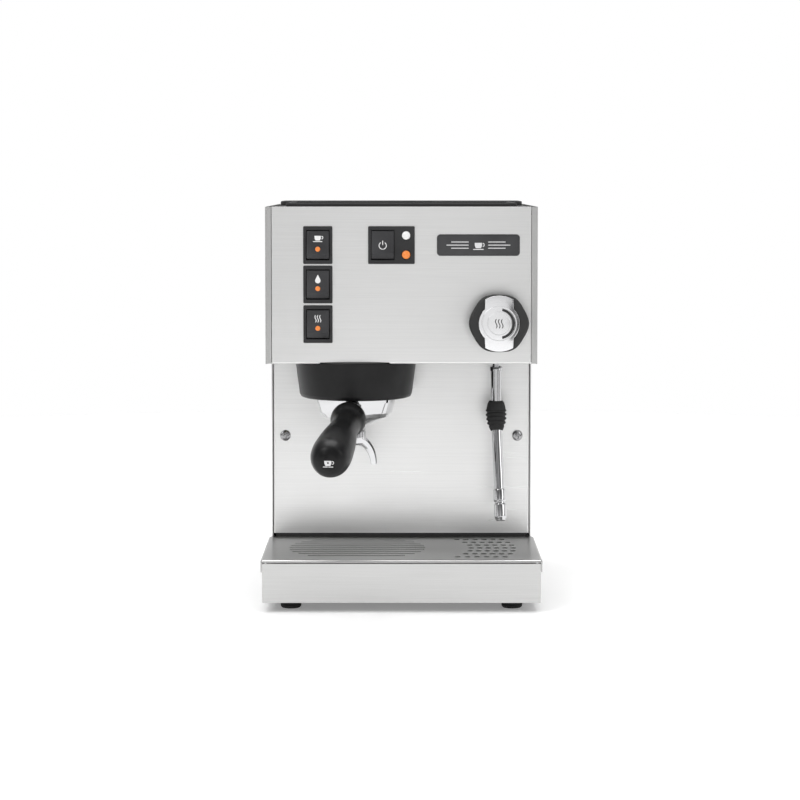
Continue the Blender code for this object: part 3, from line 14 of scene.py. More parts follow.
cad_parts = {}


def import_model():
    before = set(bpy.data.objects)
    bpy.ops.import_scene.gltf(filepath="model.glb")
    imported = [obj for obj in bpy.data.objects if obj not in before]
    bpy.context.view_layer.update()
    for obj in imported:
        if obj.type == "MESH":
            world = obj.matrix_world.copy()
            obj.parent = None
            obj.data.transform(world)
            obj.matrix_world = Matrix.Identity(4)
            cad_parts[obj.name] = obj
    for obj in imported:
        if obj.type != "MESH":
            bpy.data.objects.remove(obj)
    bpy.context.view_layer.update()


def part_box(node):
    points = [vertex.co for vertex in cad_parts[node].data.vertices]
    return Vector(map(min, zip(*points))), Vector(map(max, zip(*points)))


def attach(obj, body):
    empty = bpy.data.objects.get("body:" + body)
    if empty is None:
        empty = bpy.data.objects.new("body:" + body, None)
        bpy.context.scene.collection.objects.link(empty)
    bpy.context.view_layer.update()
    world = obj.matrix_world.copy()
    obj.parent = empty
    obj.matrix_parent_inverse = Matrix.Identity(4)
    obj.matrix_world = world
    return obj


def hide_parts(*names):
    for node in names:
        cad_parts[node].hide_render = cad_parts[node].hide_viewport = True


LOG = logging.getLogger("espresso_machine")
MM = 0.001
MERGE = 0.002 * MM
PRINT_HEIGHT = 0.12 * MM
ON_AXIS = 1e-7
NEARLY_STRAIGHT = math.radians(172)

# Shorter words for what the functions pass round.
Node = bpy.types.Node
Socket = bpy.types.NodeSocket
Shape = bmesh.types.BMesh
Piece = bpy.types.Object

# The middle of the group, the handle's turn from straight ahead and how far it hangs down.
GROUP = Vector((-39.2 * MM, -18.0 * MM, 0.0))
SWING = math.radians(6.3)
DROOP = math.radians(10.0)
HANDLE_WAY = Vector((-math.sin(SWING), -math.cos(SWING), 0.0))


class Axis(Enum):
    """A direction of the row frame that a grain or a shape runs along."""

    X = (1.0, 0.0, 0.0)
    Y = (0.0, 1.0, 0.0)


class Icon(Enum):
    """The signs printed on the rockers."""

    CUP = "brew"
    DROP = "water"
    STEAM = "steam"
    POWER = "power"


# ---------------------------------------------------------------- node trees


class Graph:
    """A short way to write a node tree."""

    def __init__(self, tree: bpy.types.NodeTree) -> None:
        """Starts on an existing tree.

        Args:
            tree: The shader or geometry tree to add nodes to.
        """
        self.tree = tree

    def node(self, kind: str, inputs: dict | None = None, **settings: object) -> Node:
        """Adds one node.

        Args:
            kind: The node's type name.
            inputs: Values or output sockets, by input name or number.
            settings: Properties of the node itself.

        Returns:
            The new node.
        """
        made = self.tree.nodes.new(kind)
        for name, value in settings.items():
            setattr(made, name, value)
        for key, value in (inputs or {}).items():
            socket = made.inputs[key]
            if isinstance(value, Socket):
                self.tree.links.new(value, socket)
            else:
                socket.default_value = value
        return made

    def math(self, operation: str, *values: object) -> Socket:
        """Adds a math node and returns its result.

        Args:
            operation: The operation's name.
            values: Numbers or sockets, in order.

        Returns:
            The output socket.
        """
        inputs = dict(enumerate(values))
        return self.node("ShaderNodeMath", inputs, operation=operation).outputs[0]

    def blend(self, first: Socket, second: Socket, share: float) -> Socket:
        """Adds two fields, the first by a share and the second by the rest of it."""
        rest = round(1.0 - share, 6)
        return self.math("ADD", self.math("MULTIPLY", first, share), self.math("MULTIPLY", second, rest))

    def half_chord(self, radius: Socket, off: Socket) -> Socket:
        """Half the length of a circle's chord at a distance from its middle."""
        squares = [self.math("MULTIPLY", value, value) for value in (radius, off)]
        return self.math("SQRT", self.math("SUBTRACT", *squares))

    def stretched(self, vector: Socket, scale: tuple) -> Socket:
        """Scales coordinates by its own factor along each axis."""
        return self.node("ShaderNodeMapping", {"Vector": vector, "Scale": scale}).outputs[0]

    def ramp(self, factor: Socket, low: float, high: float, start: float = 0.0, end: float = 1.0) -> Socket:
        """Maps a factor from one range to another.

        Args:
            factor: The value to map.
            low: The value that becomes start.
            high: The value that becomes end.
            start: The result at low.
            end: The result at high.

        Returns:
            The output socket.
        """
        inputs = {"Value": factor, "From Min": low, "From Max": high, "To Min": start, "To Max": end}
        return self.node("ShaderNodeMapRange", inputs).outputs["Result"]

    def noise(self, vector: Socket, scale: float, detail: float = 4.0) -> Socket:
        """Adds a noise texture and returns its value.

        Args:
            vector: The coordinates that it reads.
            scale: Its scale.
            detail: Its number of octaves.

        Returns:
            The factor socket.
        """
        inputs = {"Vector": vector, "Scale": scale, "Detail": detail}
        return self.node("ShaderNodeTexNoise", inputs).outputs["Fac"]

    def tinted(self, factor: Socket, first: tuple, second: tuple) -> Socket:
        """Mixes two colours by a factor.

        Args:
            factor: 0 gives the first colour and 1 the second.
            first: A colour.
            second: A colour.

        Returns:
            The colour socket.
        """
        made = self.node("ShaderNodeMix", data_type="RGBA")
        self.tree.links.new(factor, made.inputs[0])
        made.inputs[6].default_value = (*first, 1.0)
        made.inputs[7].default_value = (*second, 1.0)
        return made.outputs[2]


@dataclass(frozen=True)
class Finish:
    """A procedural finish. Its subclasses say how it looks."""

    name: str

    def material(self) -> bpy.types.Material:
        """Makes the finish's material the first time that it is asked for.

        Returns:
            The material.
        """
        found = bpy.data.materials.get(self.name)
        if found:
            return found
        made = bpy.data.materials.new(self.name)
        made.use_nodes = True
        graph = Graph(made.node_tree)
        shader = made.node_tree.nodes["Principled BSDF"]
        coordinates = graph.node("ShaderNodeTexCoord").outputs["Object"]
        self.paint(graph, shader, coordinates)
        return made

    def paint(self, graph: Graph, shader: Node, place: Socket) -> None:
        """Adds the finish's nodes.

        Args:
            graph: The material's tree.
            shader: Its Principled shader.
            place: The object's own coordinates.
        """
        raise NotImplementedError

    def bump(self, graph: Graph, shader: Node, height: Socket, depth: float) -> None:
        """Gives the shader a bumped normal.

        Args:
            graph: The material's tree.
            shader: Its Principled shader.
            height: The height field, from 0 to 1.
            depth: The height in metres that 1 stands for.
        """
        inputs = {"Height": height, "Distance": depth, "Strength": 1.0}
        node = graph.node("ShaderNodeBump", inputs)
        graph.tree.links.new(node.outputs["Normal"], shader.inputs["Normal"])


def put(shader: Node, **values: object) -> None:
    """Sets or links a shader's sockets.

    Args:
        shader: The Principled shader.
        values: Numbers, colours or output sockets by socket name, with _ for a space.
    """
    for name, value in values.items():
        socket = shader.inputs[name.replace("_", " ")]
        if isinstance(value, Socket):
            shader.id_data.links.new(value, socket)
        else:
            socket.default_value = value


@dataclass(frozen=True)
class BrushedSteel(Finish):
    """Stainless sheet with a straight grain, faint streaks and finger marks."""

    along: Axis = Axis.X
    light: tuple = (0.77, 0.77, 0.765)
    dark: tuple = (0.71, 0.71, 0.705)
    smooth: float = 0.27
    rough: float = 0.36
    depth: float = 0.004 * MM

    def paint(self, graph: Graph, shader: Node, place: Socket) -> None:
        """Adds the grain, the streaks and the smudges. Args as in Finish."""
        fine = tuple(2600.0 - 2580.0 * part for part in self.along.value)
        wide = tuple(700.0 - 694.0 * part for part in self.along.value)
        grain = graph.noise(graph.stretched(place, fine), 1.0, 2.0)
        streak = graph.noise(graph.stretched(place, wide), 1.0, 3.0)
        smudge = graph.noise(place, 14.0, 3.0)
        mixed = graph.blend(grain, streak, 0.55)
        colour = graph.tinted(graph.ramp(mixed, 0.30, 0.70), self.dark, self.light)
        wear = graph.blend(streak, smudge, 0.6)
        self.bump(graph, shader, mixed, self.depth)
        put(shader, Base_Color=colour, Metallic=1.0, Anisotropic=0.45,
            Roughness=graph.ramp(wear, 0.3, 0.7, self.smooth, self.rough))


@dataclass(frozen=True)
class Polished(Finish):
    """Chrome or polished metal with fine polishing haze."""

    colour: tuple = (0.86, 0.86, 0.87)
    smooth: float = 0.035
    rough: float = 0.10

    def paint(self, graph: Graph, shader: Node, place: Socket) -> None:
        """Adds the haze and the slight unevenness. Args as in Finish."""
        haze = graph.noise(place, 60.0, 4.0)
        marks = graph.noise(place, 900.0, 3.0)
        both = graph.blend(haze, marks, 0.7)
        darker = tuple(part * 0.93 for part in self.colour)
        self.bump(graph, shader, haze, 0.03 * MM)
        put(shader, Base_Color=graph.tinted(both, darker, self.colour), Metallic=1.0,
            Roughness=graph.ramp(both, 0.35, 0.65, self.smooth, self.rough))


@dataclass(frozen=True)
class Moulded(Finish):
    """Moulded plastic or rubber with a spark-eroded texture and worn, paler high spots."""

    colour: tuple = (0.018, 0.018, 0.019)
    smooth: float = 0.30
    rough: float = 0.46
    grain: float = 2600.0
    depth: float = 0.02 * MM
    specular: float = 0.5

    def paint(self, graph: Graph, shader: Node, place: Socket) -> None:
        """Adds the texture and the wear. Args as in Finish."""
        texture = graph.noise(place, self.grain, 2.0)
        patches = graph.noise(place, 35.0, 4.0)
        paler = tuple(min(1.0, part * 1.5 + 0.004) for part in self.colour)
        colour = graph.tinted(graph.ramp(patches, 0.35, 0.75), self.colour, paler)
        both = graph.blend(texture, patches, 0.4)
        self.bump(graph, shader, texture, self.depth)
        put(shader, Base_Color=colour, Roughness=graph.ramp(both, 0.3, 0.7, self.smooth, self.rough),
            Specular_IOR_Level=self.specular)


@dataclass(frozen=True)
class Painted(Finish):
    """Powder-coated steel with a fine orange peel and specks of dust."""

    colour: tuple = (0.022, 0.022, 0.023)

    def paint(self, graph: Graph, shader: Node, place: Socket) -> None:
        """Adds the orange peel and the dust. Args as in Finish."""
        peel = graph.noise(place, 900.0, 3.0)
        dust = graph.noise(place, 5200.0, 1.0)
        colour = graph.tinted(graph.ramp(dust, 0.72, 0.80), self.colour, (0.10, 0.10, 0.10))
        self.bump(graph, shader, peel, 0.03 * MM)
        put(shader, Base_Color=colour, Roughness=graph.ramp(peel, 0.3, 0.7, 0.38, 0.55))


@dataclass(frozen=True)
class WarmMetal(Finish):
    """Brass or copper with turning marks and darker tarnish."""

    colour: tuple = (0.72, 0.50, 0.22)
    tarnish: tuple = (0.36, 0.22, 0.10)

    def paint(self, graph: Graph, shader: Node, place: Socket) -> None:
        """Adds the tarnish and the marks. Args as in Finish."""
        stain = graph.noise(place, 45.0, 6.0)
        marks = graph.noise(graph.stretched(place, (60.0, 60.0, 3000.0)), 1.0, 2.0)
        colour = graph.tinted(graph.ramp(stain, 0.45, 0.72), self.colour, self.tarnish)
        self.bump(graph, shader, marks, 0.02 * MM)
        put(shader, Base_Color=colour, Roughness=graph.ramp(stain, 0.3, 0.7, 0.20, 0.45), Metallic=1.0)


@dataclass(frozen=True)
class Clear(Finish):
    """A coloured or clear transparent plastic, such as a lens or a water tank."""

    colour: tuple = (0.9, 0.9, 0.9)
    deep: tuple = (0.7, 0.7, 0.7)
    through: float = 0.5
    glow: float = 0.0
    smooth: float = 0.08

    def paint(self, graph: Graph, shader: Node, place: Socket) -> None:
        """Adds the cloudy colour and the surface. Args as in Finish."""
        cloud = graph.noise(place, 220.0, 3.0)
        self.bump(graph, shader, cloud, 0.02 * MM)
        put(shader, Base_Color=graph.tinted(cloud, self.deep, self.colour), IOR=1.49,
            Transmission_Weight=self.through,
            Roughness=graph.ramp(cloud, 0.3, 0.7, self.smooth, self.smooth + 0.10))
        if self.glow:
            put(shader, Emission_Color=(*self.colour, 1.0), Emission_Strength=self.glow)


@dataclass(frozen=True)
class Print(Finish):
    """Printing ink with slightly uneven cover."""

    colour: tuple = (0.85, 0.85, 0.85)

    def paint(self, graph: Graph, shader: Node, place: Socket) -> None:
        """Adds the uneven ink. Args as in Finish."""
        cover = graph.noise(place, 3000.0, 2.0)
        thin = tuple(part * 0.82 for part in self.colour)
        put(shader, Base_Color=graph.tinted(cover, thin, self.colour),
            Roughness=graph.ramp(cover, 0.3, 0.7, 0.35, 0.55))


PANEL_STEEL = BrushedSteel("panel_steel")
# Painted shade: the side panels get the front panel's stainless, toned darker as if the sides were in shade.
SHADED_SIDE_STEEL = BrushedSteel("shaded_side_steel", along=Axis.Y, light=(0.55, 0.55, 0.545), dark=(0.49, 0.49, 0.485))
# Painted shade: the tray and its cover get the front panel's stainless, toned darker so that their reflection
# of the bright floor stays grey.
SHADED_TRAY_STEEL = BrushedSteel("shaded_tray_steel", light=(0.60, 0.60, 0.595), dark=(0.53, 0.53, 0.525))
CHROME = Polished("chrome_plate", colour=(0.66, 0.66, 0.67))
SATIN_CHROME = Polished("satin_chrome", colour=(0.78, 0.78, 0.79), smooth=0.12, rough=0.22)
BLACK_PLASTIC = Moulded("black_plastic", specular=0.25)
SCREW_STEEL = Polished("screw_steel", colour=(0.36, 0.36, 0.365), smooth=0.16, rough=0.28)
GROUP_PLASTIC = Moulded("group_plastic", colour=(0.008, 0.008, 0.0083), smooth=0.30, rough=0.44, specular=0.2)
HANDLE_PLASTIC = Moulded("handle_plastic", colour=(0.007, 0.007, 0.0073), smooth=0.26, rough=0.38,
                         depth=0.012 * MM, specular=0.2)
BEZEL_PLASTIC = Moulded("bezel_plastic", colour=(0.019, 0.019, 0.020), smooth=0.28, rough=0.40, specular=0.3)
ROCKER_PLASTIC = Moulded("rocker_plastic", colour=(0.028, 0.028, 0.030), smooth=0.36, rough=0.50,
                         depth=0.04 * MM, specular=0.35)
BADGE_PLASTIC = Moulded("badge_plastic", colour=(0.030, 0.030, 0.032), smooth=0.30, rough=0.42)
RUBBER = Moulded("black_rubber", colour=(0.010, 0.010, 0.010), smooth=0.45, rough=0.62, specular=0.25)
PAINTED = Painted("painted_steel")
BRASS = WarmMetal("brass")
COPPER = WarmMetal("copper", colour=(0.78, 0.42, 0.26), tarnish=(0.35, 0.16, 0.09))
TANK = Clear("tank_plastic", colour=(0.80, 0.85, 0.87), deep=(0.70, 0.76, 0.78), through=0.75, smooth=0.16)
SILICONE = Clear("silicone", colour=(0.86, 0.85, 0.80), deep=(0.74, 0.73, 0.68), through=0.35, smooth=0.30)
AMBER = Clear("amber_lens", colour=(0.60, 0.17, 0.06), deep=(0.42, 0.09, 0.03), through=0.20, glow=0.03)
CLEAR_LENS = Clear("clear_lens", colour=(0.46, 0.47, 0.48), deep=(0.32, 0.33, 0.34), through=0.25)
INK = Print("white_ink")
SILVER_INK = Print("silver_ink", colour=(0.74, 0.74, 0.75))
DARK_INK = Print("dark_ink", colour=(0.018, 0.018, 0.018))


# ---------------------------------------------------------------- meshes


def mesh_object(name: str, bm: Shape, finish: Finish, angle: float = 35.0) -> Piece:
    """Makes an object at the origin from a bmesh, shaded smooth up to an angle.

    Args:
        name: The piece's name.
        bm: The shape, which is freed.
        finish: Its finish.
        angle: Edges sharper than this many degrees stay sharp.

    Returns:
        The object.
    """
    mesh = bpy.data.meshes.new(name)
    bm.to_mesh(mesh)
    bm.free()
    mesh.materials.append(finish.material())
    mesh.shade_smooth()
    mesh.set_sharp_from_angle(angle=math.radians(angle))
    made = bpy.data.objects.new(name, mesh)
    bpy.context.scene.collection.objects.link(made)
    return made


def close_up(bm: Shape) -> Shape:
    """Merges doubles and points all faces outwards.

    Args:
        bm: The shape.

    Returns:
        The same shape.
    """
    bmesh.ops.remove_doubles(bm, verts=bm.verts, dist=MERGE)
    bmesh.ops.recalc_face_normals(bm, faces=bm.faces)
    return bm


def polar(radius: float, degrees: float) -> tuple[float, float]:
    """A point at a radius and an angle about the origin."""
    angle = math.radians(degrees)
    return radius * math.cos(angle), radius * math.sin(angle)


def skinned(rings: list) -> Shape:
    """Makes a closed shape over rings of points, with flat ends.

    Args:
        rings: Closed sections with the same number of points each, from end to end.

    Returns:
        The closed shape.
    """
    bm = bmesh.new()
    made = [[bm.verts.new(point) for point in ring] for ring in rings]
    for first, second in zip(made, made[1:]):
        for i in range(len(first)):
            j = (i + 1) % len(first)
            bm.faces.new((first[i], first[j], second[j], second[i]))
    bm.faces.new(made[0])
    bm.faces.new(made[-1])
    return close_up(bm)


def applied(piece: Piece) -> Piece:
    """Turns a piece's modifiers into plain mesh.

    Args:
        piece: The piece.

    Returns:
        The same piece, with no modifier left.
    """
    graph = bpy.context.evaluated_depsgraph_get()
    mesh = bpy.data.meshes.new_from_object(piece.evaluated_get(graph))
    piece.modifiers.clear()
    piece.data = mesh
    return piece


def taken(piece: Piece) -> Shape:
    """Takes a piece apart into a loose shape again.

    Args:
        piece: The piece, which is removed.

    Returns:
        Its shape.
    """
    bm = bmesh.new()
    bm.from_mesh(piece.data)
    bpy.data.objects.remove(piece)
    return bm


def extent(node: str) -> tuple[Vector, Vector, Vector]:
    """A CAD node's lowest corner, its highest corner and its middle."""
    low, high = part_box(node)
    return low, high, (low + high) / 2


def frame_of(origin: Vector, up: Vector, front: Vector = Vector((0, 1, 0))) -> Matrix:
    """A matrix that puts +Z along a direction at a point.

    Args:
        origin: Where the local origin goes.
        up: Where the local +Z points.
        front: A direction that the local +Y stays near.

    Returns:
        The matrix.
    """
    z = up.normalized()
    x = front.cross(z)
    if x.length < 0.01:
        x = Vector((1, 0, 0)).cross(z)
    x.normalize()
    y = z.cross(x)
    rows = Matrix((x, y, z)).transposed().to_4x4()
    return Matrix.Translation(origin) @ rows


def lathe(profile: list, place: Matrix, sides: int = 96) -> Shape:
    """Turns a profile about the local Z axis.

    Args:
        profile: (radius, height) points; a ring's profile ends where it starts.
        place: Where the local axes go.
        sides: How many sides the turned shape has.

    Returns:
        The closed shape.
    """
    bm = bmesh.new()
    rings = []
    for radius, height in profile:
        if radius < ON_AXIS:
            rings.append([bm.verts.new(place @ Vector((0, 0, height)))])
            continue
        points = [Vector((*polar(radius, 360 * i / sides), height)) for i in range(sides)]
        rings.append([bm.verts.new(place @ point) for point in points])
    for first, second in zip(rings, rings[1:]):
        for i in range(sides):
            j = (i + 1) % sides
            around = ((first, i), (first, j), (second, j), (second, i))
            unique = list(dict.fromkeys(ring[number % len(ring)] for ring, number in around))
            if len(unique) > 2:
                bm.faces.new(unique)
    return close_up(bm)


def rounded(profile: list, radius: float, steps: int = 4) -> list:
    """Rounds the inner corners of an open profile with short curves.

    Args:
        profile: (radius, height) points.
        radius: The curves' rough radius, made smaller where a side is short.
        steps: Segments in each curve.

    Returns:
        The new points.
    """
    points = [Vector(p).to_2d() for p in profile]
    made = [points[0]]
    for before, corner, after in zip(points, points[1:], points[2:]):
        back, on = (before - corner), (after - corner)
        angle = back.angle(on, math.pi)
        if angle > NEARLY_STRAIGHT:
            made.append(corner)
            continue
        reach = min(radius / math.tan(angle / 2), back.length * 0.45, on.length * 0.45)
        start, end = corner + back.normalized() * reach, corner + on.normalized() * reach
        for i in range(steps + 1):
            t = i / steps
            made.append(start * (1 - t) ** 2 + corner * 2 * t * (1 - t) + end * t**2)
    made.append(points[-1])
    return [tuple(p) for p in made]


def rounding(bm: Shape, edges: list, radius: float, segments: int) -> None:
    """Rounds the given edges of a shape."""
    bmesh.ops.bevel(bm, geom=edges, offset=radius, segments=segments, profile=0.5, affect="EDGES",
                    clamp_overlap=True)


def slab(outline: list, place: Matrix, thickness: float, edge: float = 0.0) -> Shape:
    """Extrudes an outline along the local Z axis, with an optional rounded edge.

    Args:
        outline: (x, y) points, anticlockwise.
        place: Where the local axes go; the slab runs from local z 0 to thickness.
        thickness: Its thickness.
        edge: The radius of its edges.

    Returns:
        The closed shape.
    """
    bm = bmesh.new()
    low = bm.faces.new([bm.verts.new((x, y, 0)) for x, y in outline])
    made = bmesh.ops.extrude_face_region(bm, geom=[low])["geom"]
    top = [v for v in made if isinstance(v, bmesh.types.BMVert)]
    bmesh.ops.translate(bm, vec=(0, 0, thickness), verts=top)
    bmesh.ops.recalc_face_normals(bm, faces=bm.faces)
    if edge:
        sharp = [e for e in bm.edges if e.calc_face_angle(0) > math.radians(60)]
        rounding(bm, sharp, edge, 3)
    bmesh.ops.transform(bm, matrix=place, verts=bm.verts)
    bmesh.ops.recalc_face_normals(bm, faces=bm.faces)
    return bm


def sweep(path: list, radii: list, sides: int = 32) -> Shape:
    """A round rod along a path, with its own radius at each point and flat ends.

    Args:
        path: The points of its centre line.
        radii: Its radius at each of them.
        sides: How many sides it has.

    Returns:
        The closed shape.
    """
    rings = []
    across = Vector((1, 0, 0))
    for i, (point, radius) in enumerate(zip(path, radii)):
        ahead = (path[min(i + 1, len(path) - 1)] - path[max(i - 1, 0)]).normalized()
        across = (across - ahead * across.dot(ahead)).normalized()
        other = ahead.cross(across)
        offsets = [polar(radius, 360 * j / sides) for j in range(sides)]
        rings.append([point + across * u + other * v for u, v in offsets])
    return skinned(rings)


def join(*shapes: Shape) -> Shape:
    """Puts several shapes into one.

    Args:
        shapes: The shapes. All but the first are freed.

    Returns:
        The first, which now holds them all.
    """
    first = shapes[0]
    for other in shapes[1:]:
        scratch = bpy.data.meshes.new("scratch")
        other.to_mesh(scratch)
        other.free()
        first.from_mesh(scratch)
        bpy.data.meshes.remove(scratch)
    return first


def rounded_rectangle(width: float, height: float, radius: float, steps: int = 6) -> list:
    """Points round a rectangle with round corners, anticlockwise about the origin.

    Args:
        width: Its width.
        height: Its height.
        radius: The radius of its corners.
        steps: Segments in each corner.

    Returns:
        The points.
    """
    outline = []
    for side_x, side_y, start in ((1, 1, 0), (-1, 1, 90), (-1, -1, 180), (1, -1, 270)):
        for i in range(steps + 1):
            x, y = polar(radius, start + 90 * i / steps)
            outline.append((side_x * (width / 2 - radius) + x, side_y * (height / 2 - radius) + y))
    return outline


def bar(start: tuple, end: tuple, width: float, steps: int = 6) -> list:
    """A straight stroke with round ends.

    Args:
        start: Its first end, (x, y).
        end: Its other end.
        width: Its width.
        steps: Segments in each end.

    Returns:
        The points of its outline.
    """
    a, b = Vector(start), Vector(end)
    heading = math.atan2(b.y - a.y, b.x - a.x)
    points = []
    for middle, turn in ((b, -90), (a, 90)):
        for i in range(steps + 1):
            angle = heading + math.radians(turn + 180 * i / steps)
            points.append((middle.x + width / 2 * math.cos(angle), middle.y + width / 2 * math.sin(angle)))
    return points


def arc_stroke(radius: float, width: float, start: float, end: float, steps: int = 24) -> list:
    """A bent stroke about the origin.

    Args:
        radius: The radius of its middle line.
        width: Its width.
        start: Its first angle in degrees.
        end: Its last angle.
        steps: Segments along it.

    Returns:
        The points of its outline.
    """
    angles = [start + (end - start) * i / steps for i in range(steps + 1)]
    outer = [polar(radius + width / 2, angle) for angle in angles]
    return outer + [polar(radius - width / 2, angle) for angle in reversed(angles)]


def softened(name: str, node: str, finish: Finish, edge: float = 0.0002, angle: float = 35.0) -> Piece:
    """A copy of a CAD node with its edges rounded a little.

    Args:
        name: The piece's name.
        node: The CAD node.
        finish: Its finish.
        edge: The radius of the rounding.
        angle: Only edges sharper than this are rounded.

    Returns:
        The piece.
    """
    bm = bmesh.new()
    bm.from_mesh(bpy.data.objects[node].data)
    bmesh.ops.remove_doubles(bm, verts=bm.verts, dist=MERGE)
    bmesh.ops.dissolve_limit(bm, angle_limit=math.radians(0.5), verts=bm.verts, edges=bm.edges)
    sharp = [e for e in bm.edges if len(e.link_faces) == 2 and e.calc_face_angle(0) > math.radians(angle)]
    rounding(bm, sharp, edge, 2)
    bmesh.ops.recalc_face_normals(bm, faces=bm.faces)
    return evened(mesh_object(name, bm, finish, 30.0))


def evened(piece: Piece) -> Piece:
    """Weights a piece's normals by face area, so that its flat faces shade flat.

    Args:
        piece: The piece.

    Returns:
        The same piece.
    """
    modifier = piece.modifiers.new("even", "WEIGHTED_NORMAL")
    modifier.weight, modifier.keep_sharp = 100, True
    return applied(piece)


def facing_front(x: float, y: float, z: float) -> Matrix:
    """Stands a flat shape up at a point: its x runs right, its y runs up and its z comes forwards."""
    return Matrix.Translation((x, y, z)) @ Matrix.Rotation(math.pi / 2, 4, "X")


def hand_over(piece: Piece, body: str, slot: str, *nodes: str) -> Piece:
    """Parents a piece to the body that it rides on and hides the CAD nodes that it stands for.

    Args:
        piece: The piece.
        body: The CAD body that it moves with.
        slot: The record's material slot; not used.
        nodes: The CAD nodes that it replaces.

    Returns:
        The piece.
    """
    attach(piece, body)
    if nodes:
        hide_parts(*nodes)
    LOG.info("%s rides on %s with %d faces", piece.name, body, len(piece.data.polygons))
    return piece


# ---------------------------------------------------------------- geometry nodes


class Pattern:
    """A geometry tree with named inputs, turned into a plain mesh."""

    def __init__(self, name: str, finish: Finish) -> None:
        """Starts an empty tree.

        Args:
            name: The name of the tree and of the piece.
            finish: The finish that the tree sets.
        """
        self.name = name
        self.finish = finish
        self.tree = bpy.data.node_groups.new(name, "GeometryNodeTree")
        self.tree.interface.new_socket("Geometry", in_out="OUTPUT", socket_type="NodeSocketGeometry")
        self.graph = Graph(self.tree)
        self.inlet = self.tree.nodes.new("NodeGroupInput")
        self.values: dict[str, object] = {}

    def size(self, name: str, value: float) -> Socket:
        """Adds a named size to the tree.

        Args:
            name: Its name.
            value: Its value.

        Returns:
            The socket that gives it inside the tree.
        """
        made = self.tree.interface.new_socket(name, in_out="INPUT", socket_type="NodeSocketFloat")
        self.values[made.identifier] = value
        return self.inlet.outputs[name]

    def count(self, name: str, value: int) -> Socket:
        """Adds a named whole number to the tree.

        Args:
            name: Its name.
            value: Its value.

        Returns:
            The socket that gives it inside the tree.
        """
        made = self.tree.interface.new_socket(name, in_out="INPUT", socket_type="NodeSocketInt")
        self.values[made.identifier] = value
        return self.inlet.outputs[name]

    def finished(self, geometry: Socket, angle: float = 35.0) -> Piece:
        """Ends the tree, evaluates it and returns a plain mesh object.

        Args:
            geometry: What the tree has made.
            angle: Edges sharper than this stay sharp.

        Returns:
            The piece, with no modifier left.
        """
        real = self.graph.node("GeometryNodeRealizeInstances", {0: geometry}).outputs[0]
        inputs = {"Geometry": real, "Material": self.finish.material()}
        dressed = self.graph.node("GeometryNodeSetMaterial", inputs)
        outlet = self.tree.nodes.new("NodeGroupOutput")
        self.tree.links.new(dressed.outputs[0], outlet.inputs[0])
        holder = bpy.data.objects.new(self.name + "_holder", bpy.data.meshes.new(self.name))
        bpy.context.scene.collection.objects.link(holder)
        modifier = holder.modifiers.new("pattern", "NODES")
        modifier.node_group = self.tree
        for identifier, value in self.values.items():
            modifier[identifier] = value
        return mesh_object(self.name, close_up(taken(applied(holder))), self.finish, angle)


class Sheet(Pattern):
    """A flat sheet with openings, made by geometry nodes."""

    def rectangle(self, width: object, depth: object, corner: float, x: float, y: float) -> Socket:
        """A rectangle with round corners, as a closed curve.

        Args:
            width: Its size along X.
            depth: Its size along Y.
            corner: The radius of its corners.
            x: Its middle.
            y: Its middle.

        Returns:
            The curve.
        """
        inputs = {"Width": width, "Height": depth}
        curve = self.graph.node("GeometryNodeCurvePrimitiveQuadrilateral", inputs).outputs[0]
        curve = self.rounded(curve, corner)
        return self.moved(curve, (x, y, 0.0))

    def moved(self, geometry: Socket, way: object) -> Socket:
        """Moves geometry by a vector."""
        inputs = {"Geometry": geometry, "Translation": way}
        return self.graph.node("GeometryNodeTransform", inputs).outputs[0]

    def rounded(self, curve: Socket, radius: object) -> Socket:
        """Rounds a curve's corners.

        Args:
            curve: The curve.
            radius: The radius of its new corners.

        Returns:
            The rounded curve.
        """
        inputs = {"Curve": curve, "Radius": radius, "Count": 5}
        node = self.graph.node("GeometryNodeFilletCurve", inputs, mode="POLY")
        node.inputs["Limit Radius"].default_value = True
        return node.outputs[0]

    def copies(self, points: Socket, shape: Socket, scale: object = None) -> Socket:
        """Puts a real copy of a shape on each point.

        Args:
            points: The points.
            shape: What is copied.
            scale: The scale of each copy, if any.

        Returns:
            The copies.
        """
        inputs = {"Points": points, "Instance": shape}
        if scale is not None:
            inputs["Scale"] = scale
        placed = self.graph.node("GeometryNodeInstanceOnPoints", inputs).outputs[0]
        return self.graph.node("GeometryNodeRealizeInstances", {0: placed}).outputs[0]

    def circle(self, radius: object, steps: int = 20) -> Socket:
        """A circle as a closed curve.

        Args:
            radius: Its radius.
            steps: Its number of points.

        Returns:
            The curve.
        """
        inputs = {"Resolution": steps, "Radius": radius}
        return self.graph.node("GeometryNodeCurvePrimitiveCircle", inputs).outputs[0]

    def slotted(self, curves: list, thickness: object, top: object) -> Socket:
        """Fills between closed curves and gives the sheet its thickness, downwards.

        Args:
            curves: The outer edge and the openings.
            thickness: The sheet's thickness.
            top: The height of its upper face.

        Returns:
            The closed sheet.
        """
        joined = self.graph.node("GeometryNodeJoinGeometry")
        for curve in curves:
            self.tree.links.new(curve, joined.inputs[0])
        inputs = {"Curve": joined.outputs[0]}
        flat = self.graph.node("GeometryNodeFillCurve", inputs, mode="TRIANGLES").outputs[0]
        down = self.graph.math("MULTIPLY", thickness, -1.0)
        inputs = {"Mesh": flat, "Offset Scale": down, "Individual": False}
        thick = self.graph.node("GeometryNodeExtrudeMesh", inputs).outputs[0]
        both = self.graph.node("GeometryNodeJoinGeometry")
        self.tree.links.new(flat, both.inputs[0])
        self.tree.links.new(thick, both.inputs[0])
        lift = self.graph.node("ShaderNodeCombineXYZ", {"Z": top}).outputs[0]
        return self.moved(both.outputs[0], lift)


# ---------------------------------------------------------------- sub-assemblies


